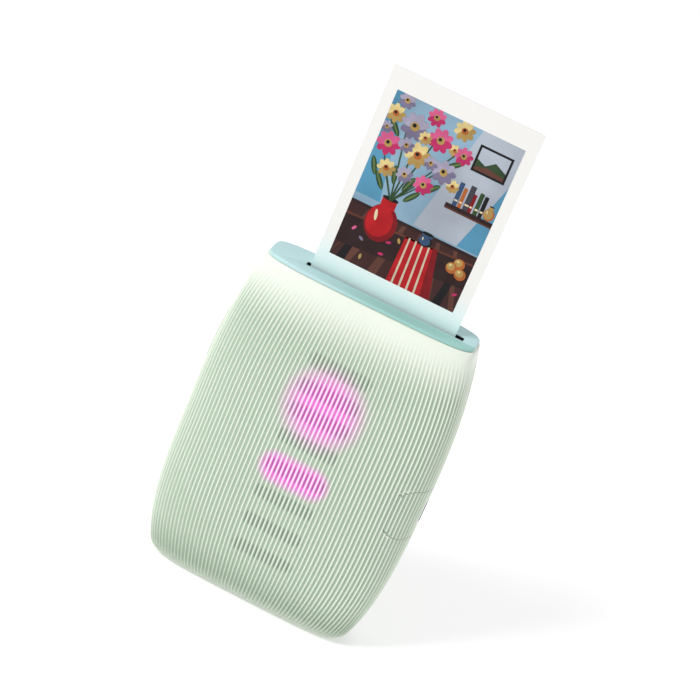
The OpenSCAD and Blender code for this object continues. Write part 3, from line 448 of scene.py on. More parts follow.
# points of the section at z, at the given columns, moved in along the normal
def sectionPoints(z, inset, columns, depths):
    a, b, n = halfWidth(z) - inset, halfDepth(z) - inset, squareness(z)
    # a quarter of the section by its length
    t = np.linspace(0, math.pi / 2, body["sectionPoints"])
    quarterX, quarterY = a * np.cos(t) ** (2 / n), b * np.sin(t) ** (2 / n)
    along = np.concatenate([[0], np.cumsum(np.hypot(np.diff(quarterX), np.diff(quarterY)))])
    along /= along[-1]
    quarter = columns / (2 * body["ribsQuarter"])
    number = np.floor(quarter).astype(int) % 4
    part = quarter - np.floor(quarter)
    part = np.where(number % 2 == 0, part, 1 - part)
    x, y = np.interp(part, along, quarterX), np.interp(part, along, quarterY)
    slopeX, slopeY = (x / a) ** (n - 1) / a, (y / b) ** (n - 1) / b
    steepness = np.hypot(slopeX, slopeY)
    x, y = x - depths * slopeX / steepness, y - depths * slopeY / steepness
    return np.where((number == 0) | (number == 3), x, -x), np.where(number < 2, y, -y)


def sectionRow(z, inset, columns, depths):
    x, y = sectionPoints(z, inset, columns, depths)
    return np.stack([x, y, np.full_like(x, z)], 1)


def skinY(x, z, inset=0.0):
    a, b, n = halfWidth(z) - inset, halfDepth(z) - inset, squareness(z)
    return b * (1 - (abs(x) / a) ** n) ** (1 / n)


def skinX(y, z, inset=0.0):
    a, b, n = halfWidth(z) - inset, halfDepth(z) - inset, squareness(z)
    return a * (1 - (abs(y) / b) ** n) ** (1 / n)


# depth of the middle of the wall
def coreY(x, z):
    return (skinY(x, z) + skinY(x, z, body["wall"])) / 2


def smoothStep(t):
    return t * t * (3 - 2 * t)


# 0 on the smooth oval land round an opening in the side, 1 outside it
def outsideLand(columns, z, opening):
    x, y = sectionPoints(z, 0, columns, np.zeros_like(columns))
    across = np.maximum(0, np.abs(y - opening["y"]) - opening["landHalf"][0])
    up = max(0, abs(z - opening["z"]) - opening["landHalf"][1])
    return smoothStep(np.clip(np.hypot(across, up) / opening["landSoft"], 0, 1))


def grooveDepth(z):
    b = body
    belowBand = min(1, max(0, (b["height"] - b["plainBand"] - z) / b["ribFade"]))
    aboveBase = min(1, max(0, (z - b["baseRadius"] / 4) / b["baseRadius"]))
    return b["groove"] * smoothStep(belowBand) * aboveBase


# 0 on a ridge, 1 along the flat of a groove
def grooveShape(ribs):
    fromRidge = np.abs(ribs - np.round(ribs))
    return smoothStep(np.clip((fromRidge - body["ridgeTop"]) / body["ridgeSide"], 0, 1))


# rows of the wall between two heights: (outer z, outer inset, inner z, inner inset)
def wallRows(low, high, step=body["rowStep"]):
    b = body
    rows = []
    if low == 0:
        r, ri = b["baseRadius"], b["baseRadius"] - b["wall"]
        for i in range(b["baseSteps"]):
            a = math.radians(90 * i / b["baseSteps"])
            outer = (r * (1 - math.cos(a)), r * (1 - math.sin(a)))
            inner = (r - ri * math.cos(a), ri * (1 - math.sin(a)) + b["wall"])
            rows.append(outer + inner)
        low = r
    count = math.ceil((high - low) / step)
    for i in range(count + 1):
        z = low + (high - low) * i / count
        rows.append((z, 0, z, b["wall"]))
    if high == b["rim"]:
        rows.pop()
        under = high - b["rimRound"]
        rows += [(under, 0, under, b["wall"]), (high, b["rimRound"], high, b["wall"])]
    return rows


# a stretch of the ribbed wall between two columns, closed round its rims, in millimetres:
# floorY is where it ends under the base, proud moves it out, and the ribs stop round an opening
def shellMesh(name, first, last, rows, material, floorY=None, ribbed=True, proud=0.0, opening=None):
    b = body
    per = b["samplesPerRib"]
    outerCols = np.arange(first * per // 2, last * per // 2 + 1) / (per / 2)
    innerCols = np.arange(first, last + 1).astype(float)
    plain = np.zeros(len(outerCols))
    scallop = grooveShape(outerCols / 2) if ribbed else plain
    deepest = np.abs(np.sin(math.pi * outerCols / 2)) ** b["valleyShape"] if ribbed else plain
    outerRows, innerRows, groove, valley = [], [], [], []
    if floorY is not None:
        x, y = sectionPoints(rows[0][0], rows[0][1], outerCols[[0, -1]], np.zeros(2))
        end = x[0] - math.copysign(b["baseEdge"], x[0])
        for points, count, z in ((outerRows, len(outerCols), 0), (innerRows, len(innerCols), b["wall"])):
            across = np.linspace(end, -end, count)
            points.append(np.stack([across, np.full_like(across, floorY), np.full_like(across, z)], 1))
        groove.append(plain)
        valley.append(plain)
    for outerZ, outerInset, innerZ, innerInset in rows:
        depth = grooveDepth(outerZ) * scallop
        if opening:
            depth = depth * outsideLand(outerCols, outerZ, opening)
        outerRows.append(sectionRow(outerZ, outerInset - proud, outerCols, depth))
        innerRows.append(sectionRow(innerZ, innerInset, innerCols, np.zeros_like(innerCols)))
        groove.append(depth / b["groove"])
        valley.append(deepest * depth / b["groove"])
    verts = np.concatenate(outerRows + innerRows) * mm
    faces = shellFaces(len(outerRows), len(outerCols), len(innerCols))
    obj = addObject(name, verts, faces, material, b["smoothBelow"])
    fixNormals(obj)
    for attribute, marks in (("groove", groove), ("valley", valley)):
        values = np.zeros(len(verts), dtype=np.float32)
        values[: len(outerRows) * len(outerCols)] = np.concatenate(marks)
        obj.data.attributes.new(attribute, "FLOAT", "POINT").data.foreach_set("value", values)
    return obj


# faces between rows of outer points and the coarser rows of inner points that follow them
def shellFaces(rowCount, outerCount, innerCount):
    top, lastOuter, lastInner = rowCount - 1, outerCount - 1, innerCount - 1

    def outer(row, i):
        return row * outerCount + i

    def inner(row, i):
        return rowCount * outerCount + row * innerCount + i

    faces = []
    for r in range(top):
        for i in range(lastOuter):
            faces.append((outer(r, i), outer(r, i + 1), outer(r + 1, i + 1), outer(r + 1, i)))
    for r in range(top):
        for i in range(lastInner):
            faces.append((inner(r, i), inner(r + 1, i), inner(r + 1, i + 1), inner(r, i + 1)))
    # the two ends
    for r in range(top):
        faces.append((outer(r, 0), outer(r + 1, 0), inner(r + 1, 0), inner(r, 0)))
    for r in range(top):
        ends = (outer(r, lastOuter), inner(r, lastInner))
        faces.append((*ends, inner(r + 1, lastInner), outer(r + 1, lastOuter)))
    # fans along the lower and the upper rim
    each = lastOuter // lastInner
    for i in range(lastInner):
        middle = i * each + each // 2
        for j in range(i * each, (i + 1) * each):
            near = i if j < middle else i + 1
            faces.append((outer(0, j + 1), outer(0, j), inner(0, near)))
            faces.append((outer(top, j), outer(top, j + 1), inner(top, near)))
        faces.append((outer(0, middle), inner(0, i), inner(0, i + 1)))
        faces.append((inner(top, i), outer(top, middle), inner(top, i + 1)))
    return faces


# where the covers part under the base
def floorEdge():
    first = float(body["partingColumns"])
    x, y = sectionPoints(0, body["baseRadius"], np.array([first]), np.zeros(1))
    return y[0] + body["baseTuck"]


print("stage: helpers")


door = {
    "halfWidth": 35.3,
    "low": 9.3,
    "high": 107.0,
    "radius": 8.0,
    "gap": 0.3,
    "cut": (2, 30),  # what its cutter spans, here in depth
    "columns": 12,  # of the shell, left out at each side before the cut
    "rows": (7.0, 110.0),
    "hingeX": -36.0,
    "hingeY": 13.794,
    "hingeLow": 40.0,
    "hingeHigh": 84.0,
    "knuckleLow": 50.8,
    "knuckleHigh": 73.2,
    "knuckleRadius": 1.5,
    "knuckleEdge": 0.2,
    "bore": 0.75,
    "borePast": 1,
    "latchWindow": (26.25, 62.0, 10.1, 14.6, 1.3, 10.8, 22),  # a shape and the depths it is cut between
    "window": (-8.0, 72.0, 8.0, 20.0, 2.0, 12, 22),
    "guides": {"z": (53.1, 70.9), "from": 19.5, "to": 32.0, "y": 12.3, "thick": 1.2},
    "posts": {"x": (-16, 12), "z": (41.5, 68.5), "halfWidth": 3, "y": 10.6, "halfHeight": 0.8},
}
chamber = {"start": 8.2, "wall": 1.3, "steps": 12}
panel = {
    "z": 60.3,
    "height": 20.0,
    "front": -13.1,
    "back": 10.4,
    "radius": 4.0,
    "gap": 0.14,
    "cut": (34, 50),
    "columns": 24,
    "rows": (46.0, 76.0, 0.6),
    "foot": {"x": (42.51, 43.6), "y": (2.2, 3.4), "halfHeight": 6.25},
}
socket = {
    "y": -0.2,
    "z": 60.3,
    "width": 3.5,
    "height": 9.3,
    "cut": (36, 50),
    "landHalf": (2.4, 5.4),
    "landSoft": 1.2,
}
button = {
    "z": 88.03,
    "length": 21.0,
    "width": 5.2,
    "y": -1.0,
    "gap": 0.3,
    "proud": 0.28,
    "cut": (-50, -36),
    "columns": (8, 12),
    "rows": (70.0, 106.0),
    "edge": 0.3,
    "flange": {"grow": 0.8, "x": (-41.2, -40.4)},
    "stem": {"grow": -0.5, "x": (-43.4, -40.6)},
}
straight = 0.01  # half of what stays straight on the round end of an oval


# each shape is a middle, a width, a height and a corner radius, grown all round
def doorShape(grow=0.0):
    d = door
    width, height = 2 * (d["halfWidth"] + grow), d["high"] - d["low"] + 2 * grow
    return 0, (d["low"] + d["high"]) / 2, width, height, d["radius"] + grow


def panelShape(grow=0.0):
    p = panel
    width, height = p["back"] - p["front"] + 2 * grow, p["height"] + 2 * grow
    return (p["front"] + p["back"]) / 2, p["z"], width, height, p["radius"] + grow


def buttonShape(grow=0.0):
    b = button
    width, height = b["width"] + 2 * grow, b["length"] + 2 * grow
    return b["y"], b["z"], width, height, b["width"] / 2 + grow - straight


def socketShape():
    s = socket
    return s["y"], s["z"], s["width"], s["height"], s["width"] / 2 - straight


def doorCutter(grow=0.0):
    return frontPlate("cutter", *doorShape(grow), *door["cut"])


def panelCutter(grow=0.0):
    return sidePlate("cutter", *panelShape(grow), *panel["cut"])


def buttonCutter(grow=0.0):
    return sidePlate("cutter", *buttonShape(grow), *button["cut"])


shellLook = {
    "base": colour(232, 238, 226),
    "driftScale": 45,
    "drift": 0.97,
    # painted shade: darker in the grooves and darker still along their middles
    "grooveShade": colour(170, 190, 167),
    "valleyShade": colour(138, 162, 140),
    "valleyStrength": 0.4,
    # painted shade, darker towards the base
    "baseShade": colour(116, 138, 114),
    "baseShadeStrength": 0.45,
    "baseShadeHeight": (0, 20),
    # painted reflection: paler where the surface is seen edge on, faded in above the base
    "rimReflection": colour(238, 243, 240),
    "rimReflectionStrength": 0.75,
    "rimReflectionGrazing": (0.72, 0.97),
    "rimReflectionHeight": (8, 24),
    # painted shade: a dark line along the seams of the door and the side panel
    "seamShadeColour": colour(132, 152, 134),
    "seamShadeWidth": (0.08, 0.22),
    "seamFront": (5, 6),  # the door's seam shows behind these depths
    "seamSide": (30, 31),  # and the panel's beyond these widths
    "socketShade": colour(30, 36, 34),
    "socketShadeWidth": (0.15, 0.4),
    "socketSide": (40, 41),
    "rough": 0.36,
    "gloss": (-0.04, 0.06),
    "glossScale": 700,
    "seeThrough": 0.1,
    "seeThroughRadius": (0.6, 1.0, 0.7),
    "seeThroughDepth": 0.6,
    "grain": 5200,
    "grainDepth": 0.012,
    "grainStrength": 0.35,
}
# painted light from the lamps behind the front, as a disc and a bar
glowLook = {
    "front": (-4, -7),  # only the front glows, from these depths on
    "disc": (1.4, 86.0),
    "discHalf": (6.0, 6.0),
    "discSoft": 12.0,
    "bar": (1.2, 59.0),
    "barHalf": (9.6, 2.9),
    "barSoft": 5.0,
    "ridge": colour(252, 206, 244),
    "groove": colour(222, 100, 202),
    "grooveEdge": (0.2, 1.0),
    "valley": colour(196, 62, 172),
    "valleyStrength": 0.6,
    "glowTintAmount": 0.85,
    "strength": 0.22,
}
dashLook = {
    "rows": (24.0, 36.0, 48.0, 59.5, 71.5, 82.0, 91.0, 100.5),
    "half": (10.6, 1.7),
    "soft": 1.8,
    "valleyEdge": (0.15, 0.8),
    "colour": colour(84, 106, 92),
    "strength": 0.72,
    "lit": colour(132, 44, 120),
    "litStrength": 0.75,
}


# how far a coordinate lies beyond a span, given by its middle and its half
def beyond(n, place, middle, half):
    return n.math("SUBTRACT", n.math("ABSOLUTE", n.math("SUBTRACT", place, middle * mm)), half * mm)


# distance from the outline of a shape, seen along one axis
def outlineDistance(n, u, v, shape):
    middleU, middleV, width, height, radius = shape
    du = beyond(n, u, middleU, width / 2 - radius)
    dv = beyond(n, v, middleV, height / 2 - radius)
    corner = n.slope(n.highest(du, 0.0), n.highest(dv, 0.0))
    inside = n.math("MINIMUM", n.highest(du, dv), 0.0)
    return n.math("ABSOLUTE", n.math("SUBTRACT", n.math("ADD", corner, inside), radius * mm))


# 1 inside a bar with round ends on the front, falling to 0 over soft
def roundedMask(n, x, z, middle, half, soft):
    dx = n.highest(beyond(n, x, middle[0], half[0] - half[1]), 0.0)
    dz = n.math("SUBTRACT", z, middle[1] * mm)
    return n.fade(n.slope(dx, dz), (half[1], half[1] + soft), 1.0, 0.0)


# the satin green of the shell before anything shines through it, with painted shade in the grooves,
# along their middles and towards the base, and a painted reflection where the surface is seen edge on
def shellTone(n, z, inGroove, inValley):
    s = shellLook
    tone = n.mix(n.patches(s["driftScale"]), s["base"], toned(s["base"], s["drift"]))
    tone = n.mix(inGroove, tone, s["grooveShade"])
    tone = n.mix(n.times(inValley, s["valleyStrength"]), tone, s["valleyShade"])
    tone = n.mix(n.fade(z, s["baseShadeHeight"], s["baseShadeStrength"], 0.0), tone, s["baseShade"])
    # painted reflection at grazing angles
    rim = n.times(n.ramp(n.grazing(), *s["rimReflectionGrazing"]), s["rimReflectionStrength"])
    return n.mix(n.times(rim, n.fade(z, s["rimReflectionHeight"])), tone, s["rimReflection"])


# painted shade in the seams of the side panel and the door, and in the socket's opening
def paintSeamAndSocketShade(n, x, y, z, tone):
    s = shellLook
    panelSeamShade = n.fade(outlineDistance(n, y, z, panelShape()), s["seamShadeWidth"], 1.0, 0.0)
    panelSeamShade = n.times(panelSeamShade, n.fade(x, s["seamSide"]))
    doorSeamShade = n.fade(outlineDistance(n, x, z, doorShape(door["gap"] / 2)), s["seamShadeWidth"], 1.0, 0.0)
    doorSeamShade = n.times(doorSeamShade, n.fade(y, s["seamFront"]))
    tone = n.mix(n.highest(panelSeamShade, doorSeamShade), tone, s["seamShadeColour"])
    # painted shade round the socket's opening
    socketShadeMask = n.fade(outlineDistance(n, y, z, socketShape()), s["socketShadeWidth"], 1.0, 0.0)
    return n.mix(n.times(socketShadeMask, n.fade(x, s["socketSide"])), tone, s["socketShade"])


def makeShellMaterial():
    n = Nodes("shellPlastic")
    s, g, d = shellLook, glowLook, dashLook
    x, y, z = n.xyz()
    inGroove, inValley = n.attribute("groove"), n.attribute("valley")
    front = n.fade(y, g["front"])
    disc = n.times(roundedMask(n, x, z, g["disc"], g["discHalf"], g["discSoft"]), front)
    bar = n.times(roundedMask(n, x, z, g["bar"], g["barHalf"], g["barSoft"]), front)
    glow = n.highest(disc, bar)
    tone = shellTone(n, z, inGroove, inValley)
    # short dark dashes in the grooves down the middle of the front
    rows = [roundedMask(n, x, z, (g["disc"][0], height), d["half"], d["soft"]) for height in d["rows"]]
    dash = n.times(n.highest(*rows), n.ramp(inValley, *d["valleyEdge"]), front)
    tone = n.mix(n.times(dash, d["strength"]), tone, d["colour"])
    # painted light: where the lamps inside would shine through, the colour turns pink and the shell
    # emits it
    lit = n.mix(n.ramp(inGroove, *g["grooveEdge"]), g["ridge"], g["groove"])
    lit = n.mix(n.times(inValley, g["valleyStrength"]), lit, g["valley"])
    lit = n.mix(n.times(dash, d["litStrength"]), lit, d["lit"])
    tone = n.mix(n.times(glow, g["glowTintAmount"]), tone, lit)
    n.set(Base_Color=paintSeamAndSocketShade(n, x, y, z, tone))
    n.set(Emission_Color=lit, Emission_Strength=n.times(glow, g["strength"]))
    shiny, matt = (s["rough"] + change for change in s["gloss"])
    n.set(Roughness=n.patches(s["glossScale"], shiny, matt, detail=3, spread=0.3))
    n.set(Subsurface_Weight=s["seeThrough"], Subsurface_Radius=s["seeThroughRadius"])
    n.set(Subsurface_Scale=s["seeThroughDepth"] * mm)
    n.bump(n.noise(s["grain"], 2), s["grainDepth"] * mm, s["grainStrength"])
    return n.material


shellPlastic = makeShellMaterial()
innerPlastic = plastic("innerPlastic", colour(192, 204, 186), 0.5)
darkPlastic = plastic("darkPlastic", colour(34, 35, 37), 0.5, 0.2)
greyPlastic = plastic("greyPlastic", colour(112, 116, 120), 0.45)
paleGrey = plastic("paleGrey", colour(204, 212, 200), 0.38)
gearPlastic = plastic("gearPlastic", colour(232, 228, 212), 0.4)
buttonPlastic = plastic("buttonPlastic", colour(200, 212, 196), 0.34, 0.05, 4200, 0.004 * mm)
steel = metal("steel", colour(196, 198, 200), 0.26, (1, 1, 12))
rolledSteel = metal("rolledSteel", colour(178, 181, 184), 0.22, (12, 1, 1))
darkSteel = metal("darkSteel", colour(70, 72, 76), 0.4)
brass = metal("brass", colour(208, 170, 96), 0.25, (12, 1, 1))
print("stage: first materials")


boss = {
    "places": (
        (-33.5, 26, -4.7),  # x, z and where it ends
        (-33.5, 88, -4.7),
        (38.4, 30, -4.7),
        (38.4, 92, -4.7),
        (-33.5, 40, 5.5),
        (-33.5, 72, 5.5),
    ),
    "radius": 2.3,
    "bore": 1.0,
    "boreDepth": 4,
    "borePast": 2,
    "beside": 0.8,  # the wall is measured this far beside the middle
    "sunk": 0.6,
}
lightPin = {
    "x": 1.4,
    "z": (51.5, 70, 99.5),
    "radius": 1.2,
    "end": -12.0,
    "tipRadius": 0.6,
    "tipStart": -12.5,
    "tipLength": 1.3,
}


def makeFrontCover():
    p, rows = body["partingColumns"], wallRows(0, body["rim"])
    shell = shellMesh("frontShell", cols // 2 - p, cols + p, rows, shellPlastic, floorEdge())
    cut(shell, panelCutter(panel["gap"]))
    cut(shell, buttonCutter(button["gap"]))
    shade(shell, body["smoothBelow"])
    bosses = [makeBoss(x, z, end) for x, z, end in boss["places"]]
    for z in lightPin["z"]:
        bosses += makeLightPin(z)
    bosses = joinAll("frontBosses", bosses, innerPlastic)
    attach(shell, "housing")
    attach(bosses, "housing")
    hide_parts("front_cover")


def makeBoss(x, z, end):
    b = boss
    start = -skinY(abs(x) + b["beside"], z, body["wall"]) - b["sunk"]
    post = mmRod("boss", "y", (x, start, z), end - start, b["radius"])
    depth = b["boreDepth"]
    cut(post, mmRod("cutter", "y", (x, end - depth, z), depth + b["borePast"], b["bore"]))
    return post


# a pin with a thinner tip that holds the light board
def makeLightPin(z):
    p = lightPin
    start = -skinY(0, z, body["wall"]) - boss["sunk"]
    pin = mmRod("lightPin", "y", (p["x"], start, z), p["end"] - start, p["radius"], sides=24)
    tip = mmRod("lightPin", "y", (p["x"], p["tipStart"], z), p["tipLength"], p["tipRadius"], sides=16)
    return [pin, tip]


# walls of the film chamber, which end in the middle of the cover's wall
def sideWall(side):
    c = chamber
    x = side * (door["halfWidth"] + door["gap"])
    low, high = door["low"] + door["radius"], door["high"] - door["radius"]
    loop = [(c["start"], high), (c["start"], low)]
    for i in range(c["steps"] + 1):
        z = low + (high - low) * i / c["steps"]
        loop.append((coreY(abs(x) + c["wall"], z), z))
    return prism("chamberWall", loop, lambda u, v, t: ((x + side * t * c["wall"]) * mm, u * mm, v * mm))


def endWall(z):
    c = chamber
    half = door["halfWidth"] - door["radius"]
    loop = [(half, c["start"]), (-half, c["start"])]
    for i in range(c["steps"] + 1):
        x = half * (2 * i / c["steps"] - 1)
        loop.append((x, min(coreY(x, z), coreY(x, z + c["wall"]))))
    return prism("chamberWall", loop, lambda u, v, t: (u * mm, v * mm, (z + t * c["wall"]) * mm))


# a bar round the axis of the door's hinge
def hingeBar(name, low, high, radius, sides=32):
    return mmRod(name, "z", (door["hingeX"], door["hingeY"], low), high - low, radius, sides)


def makeKnuckle(low, high):
    knuckle = hingeBar("knuckle", low, high, door["knuckleRadius"], sides=40)
    cut(knuckle, hingeBar("cutter", low - door["borePast"], high + door["borePast"], door["bore"]))
    bevelEdges(knuckle, door["knuckleEdge"] * mm)
    return knuckle


rearInside = {
    "lugs": {
        "z": (40, 72),
        "x": -31.2,
        "y": (5.5, 7.2),
        "sunk": 0.6,
        "halfHeight": 3,
        "boreX": -33.5,
        "boreY": (5, 8),
        "bore": 1.0,
    },
    "tabs": {"z": (40, 80), "y": (-2, 7.5), "wallY": 4, "thick": 1.2, "inside": 0.3, "halfHeight": 3},
}


def makeLug(z):
    g = rearInside["lugs"]
    left, high = g["sunk"] - skinX(g["y"][1], z), g["halfHeight"]
    lug = mmBox("lug", (left, g["x"]), g["y"], (z - high, z + high))
    start, end = g["boreY"]
    cut(lug, mmRod("cutter", "y", (g["boreX"], start, z), end - start, g["bore"]))
    return lug


def makeTab(z):
    g = rearInside["tabs"]
    x, high = skinX(g["wallY"], z, body["wall"]) - g["inside"], g["halfHeight"]
    return mmBox("tab", (x - g["thick"], x), g["y"], (z - high, z + high))


def makeRearCover():
    p, d = body["partingColumns"], door
    rows = wallRows(0, body["rim"])
    shell = shellMesh("rearShell", p, cols // 2 - p, rows, shellPlastic, floorEdge())
    cut(shell, doorCutter(d["gap"]))
    cut(shell, panelCutter(panel["gap"]))
    low, high = d["knuckleLow"] - d["gap"], d["knuckleHigh"] + d["gap"]
    cut(shell, hingeBar("cutter", low, high, d["knuckleRadius"] + d["gap"]))
    shade(shell, body["smoothBelow"])
    inside = [sideWall(-1), sideWall(1)]
    inside.append(endWall(d["low"] - d["gap"] - chamber["wall"]))
    inside.append(endWall(d["high"] + d["gap"]))
    inside += [makeLug(z) for z in rearInside["lugs"]["z"]]
    inside += [makeTab(z) for z in rearInside["tabs"]["z"]]
    inside += [makeKnuckle(d["hingeLow"], low), makeKnuckle(high, d["hingeHigh"])]
    inside = joinAll("rearInside", inside, innerPlastic)
    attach(shell, "housing")
    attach(inside, "housing")
    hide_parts("rear_cover")


# a rib that the latch slides along, up to the middle of the door's wall
def makeGuideRib(z):
    g = door["guides"]
    start, end, y = g["from"], g["to"], g["y"]
    loop = [(start, y), (end, y), (end, coreY(end, z)), (start, coreY(start, z))]
    low, thick = z - g["thick"] / 2, g["thick"]
    return prism("guideRib", loop, lambda u, v, t: (u * mm, v * mm, (low + thick * t) * mm))


def makePost(x, z):
    g = door["posts"]
    wide, high = g["halfWidth"], g["halfHeight"]
    return mmBox("post", (x - wide, x + wide), (g["y"], coreY(abs(x) + wide, z)), (z - high, z + high))


def makeDoor():
    d = door
    first, last = d["columns"], cols // 2 - d["columns"]
    shell = shellMesh("doorShell", first, last, wallRows(*d["rows"]), shellPlastic)
    lower = (d["hingeLow"] - d["gap"], d["knuckleLow"])
    upper = (d["knuckleHigh"], d["hingeHigh"] + d["gap"])
    for low, high in (lower, upper):
        cut(shell, hingeBar("cutter", low, high, d["knuckleRadius"] + d["gap"]))
    cut(shell, doorCutter(), "INTERSECT")
    cut(shell, frontPlate("cutter", *d["window"]))
    cut(shell, frontPlate("cutter", *d["latchWindow"]))
    shade(shell, body["smoothBelow"])
    inside = [makeGuideRib(z) for z in d["guides"]["z"]]
    inside += [makePost(x, z) for x in d["posts"]["x"] for z in d["posts"]["z"]]
    inside.append(makeKnuckle(d["knuckleLow"], d["knuckleHigh"]))
    inside = joinAll("doorInside", inside, innerPlastic)
    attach(shell, "door")
    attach(inside, "door")
    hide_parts("film_door")


def makePanel():
    p, f = panel, panel["foot"]
    first, last = cols - p["columns"], cols + p["columns"]
    shell = shellMesh("portPanel", first, last, wallRows(*p["rows"]), shellPlastic, opening=socket)
    cut(shell, panelCutter(), "INTERSECT")
    cut(shell, sidePlate("cutter", *socketShape(), *socket["cut"]))
    shade(shell, body["smoothBelow"])
    low, high = p["z"] - f["halfHeight"], p["z"] + f["halfHeight"]
    foot = mmBox("panelFoot", f["x"], f["y"], (low, high), innerPlastic)
    for o in (shell, foot):
        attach(o, "housing")
    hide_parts("port_panel")


def makeButton():
    b = button
    first, last = cols // 2 - b["columns"][0], cols // 2 + b["columns"][1]
    rows = wallRows(*b["rows"])
    top = shellMesh("buttonCap", first, last, rows, buttonPlastic, ribbed=False, proud=b["proud"])
    cut(top, buttonCutter(), "INTERSECT")
    bevelEdges(top, b["edge"] * mm, segments=3, angle=50)
    flange = sidePlate("buttonFlange", *buttonShape(b["flange"]["grow"]), *b["flange"]["x"])
    stem = sidePlate("buttonStem", *buttonShape(b["stem"]["grow"]), *b["stem"]["x"])
    inner = joinAll("buttonInner", [flange, stem], innerPlastic)
    for o in (top, inner):
        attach(o, "button")
    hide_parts("power_button")


makeFrontCover()
makeRearCover()
makeDoor()
makePanel()
makeButton()
print("stage: covers, door, side panel and button")


cap = {
    "low": 123.7,
    "high": 125.0,
    "inset": 0.1,
    "underEdge": 0.12,
    "edge": 0.45,
    "edgeSteps": 5,
    "ringPoints": 240,
    "slot": (4.1, -1.5, 58.5, 3.0, 0.4),  # x, y, width, depth and corner radius
    "slotEdge": 0.1,
    "slotCut": (120, 128),
    "skirtLow": 122.3,
    "skirtInset": 2.1,
    "skirtWall": 1.2,
    "feet": {"x": (-28.55, 35.15), "halfWidth": 0.75, "halfDepth": 3.4},
}
capLook = {
    "base": colour(184, 217, 219),
    "driftScale": 60,
    "drift": 0.97,
    # painted shadow of the film, on the strip in front of it
    "filmShadow": colour(132, 188, 176),
    "filmShadowStrength": 0.7,
    "filmShadowDepth": (-3, -4.5),  # the strip starts between these depths
    "filmShadowEnd": (-26, 10),  # and grows between these widths
    "slotWallShade": colour(24, 30, 30),
    "slotWidth": (0.06, 0.14),
    "slotHeight": (124.6, 124.9),
    "rough": (0.34, 0.36),
    "glossScale": 40,
}


# gloss cap, with a painted shadow of the film on the strip in front of it
def makeCapMaterial(c):
    n = Nodes("capPlastic")
    x, y, z = n.xyz()
    # painted shadow of the film
    filmShadow = n.times(n.fade(y, c["filmShadowDepth"]), n.fade(x, c["filmShadowEnd"]))
    tone = n.mix(n.patches(c["driftScale"]), toned(c["base"], c["drift"]), c["base"])
    tone = n.mix(n.times(filmShadow, c["filmShadowStrength"]), tone, c["filmShadow"])
    # painted shade on the slot's own walls
    wall = n.fade(outlineDistance(n, x, y, cap["slot"]), c["slotWidth"], 1.0, 0.0)
    wall = n.times(wall, n.fade(z, c["slotHeight"], 1.0, 0.0))
    n.set(Base_Color=n.mix(wall, tone, c["slotWallShade"]))
    n.set(Roughness=n.patches(c["glossScale"], *c["rough"], spread=0.3))
    return n.material


capPlastic = makeCapMaterial(capLook)


def capRing(z, inset):
    count = cap["ringPoints"]
    columns = np.arange(count) * cols / count
    x, y = sectionPoints(body["height"], inset, columns, np.zeros(count))
    return [(a * mm, b * mm, z * mm) for a, b in zip(x, y)]


# skin of rings: a solid with flat ends, or a tube that closes on its first ring
def stackRings(name, rings, tube=False):
    count, turns = len(rings[0]), len(rings)
    verts = [p for ring in rings for p in ring]
    faces = []
    for r in range(turns if tube else turns - 1):
        a, b = r * count, ((r + 1) % turns) * count
        faces += [(a + i, a + (i + 1) % count, b + (i + 1) % count, b + i) for i in range(count)]
    if not tube:
        faces.append(tuple(reversed(range(count))))
        faces.append(tuple((turns - 1) * count + i for i in range(count)))
    obj = addObject(name, verts, faces, capPlastic)
    fixNormals(obj)
    return obj


def makeTopCap():
    c = cap
    under = c["underEdge"]
    rings = [capRing(c["low"], c["inset"] + under), capRing(c["low"] + under, c["inset"])]
    for i in range(c["edgeSteps"] + 1):
        a = math.radians(90 * i / c["edgeSteps"])
        drop, turnedIn = c["edge"] * (1 - math.sin(a)), c["edge"] * (1 - math.cos(a))
        rings.append(capRing(c["high"] - drop, c["inset"] + turnedIn))
    top = stackRings("topCap", rings)
    x, y, w, d, r = c["slot"]
    low, high = c["slotCut"]

    def place(u, v, t):
        return (x + u) * mm, (y + v) * mm, (low + t * (high - low)) * mm

    cut(top, prism("cutter", roundedLoop(w, d, r, steps=5), place))
    bevelEdges(top, c["slotEdge"] * mm, angle=60)
    return top


# the collar and the two feet below the cap, which fit inside the covers
def makeCapSkirt():
    c, f = cap, cap["feet"]
    low, high, outer, inner = c["skirtLow"], c["low"], c["skirtInset"], c["skirtInset"] + c["skirtWall"]
    rings = [capRing(low, outer), capRing(high, outer), capRing(high, inner), capRing(low, inner)]
    pieces = [stackRings("capSkirt", rings, tube=True)]
    wide, deep = f["halfWidth"], f["halfDepth"]
    pieces += [mmBox("foot", (x - wide, x + wide), (-deep, deep), (low, high)) for x in f["x"]]
    return joinAll("capSkirt", pieces, capPlastic)


def makeCap():
    top = makeTopCap()
    skirt = makeCapSkirt()
    for o in (top, skirt):
        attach(o, "housing")
    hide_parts("top_cap")


makeCap()
print("stage: cap")


sheet = {
    "x": 3.3,
    "front": -1.65,
    "top": 201.5,
    "image": (46.0, 62.0),
    "imageTop": 7.5,
    "sunk": 0.05,
    "patchBack": 0.002,
    "patchFront": 0.004,
    "layer": 0.006,
}
filmLook = {
    "white": colour(226, 225, 222),
    # painted reflection of the cap
    "capReflection": colour(214, 240, 239),
    "capReflectionHeight": (124, 142),
    "rough": (0.3, 0.34),
    "glossScale": 100,
}


# white film, with a painted reflection of the cap's tint just above the slot
def makeFilmGloss(f):
    n = Nodes("filmGloss")
    x, y, z = n.xyz()
    n.set(Base_Color=n.mix(n.fade(z, f["capReflectionHeight"], 1.0, 0.0), f["white"], f["capReflection"]))
    n.set(Roughness=n.patches(f["glossScale"], *f["rough"], spread=0.3))
    return n.material


filmGloss = makeFilmGloss(filmLook)

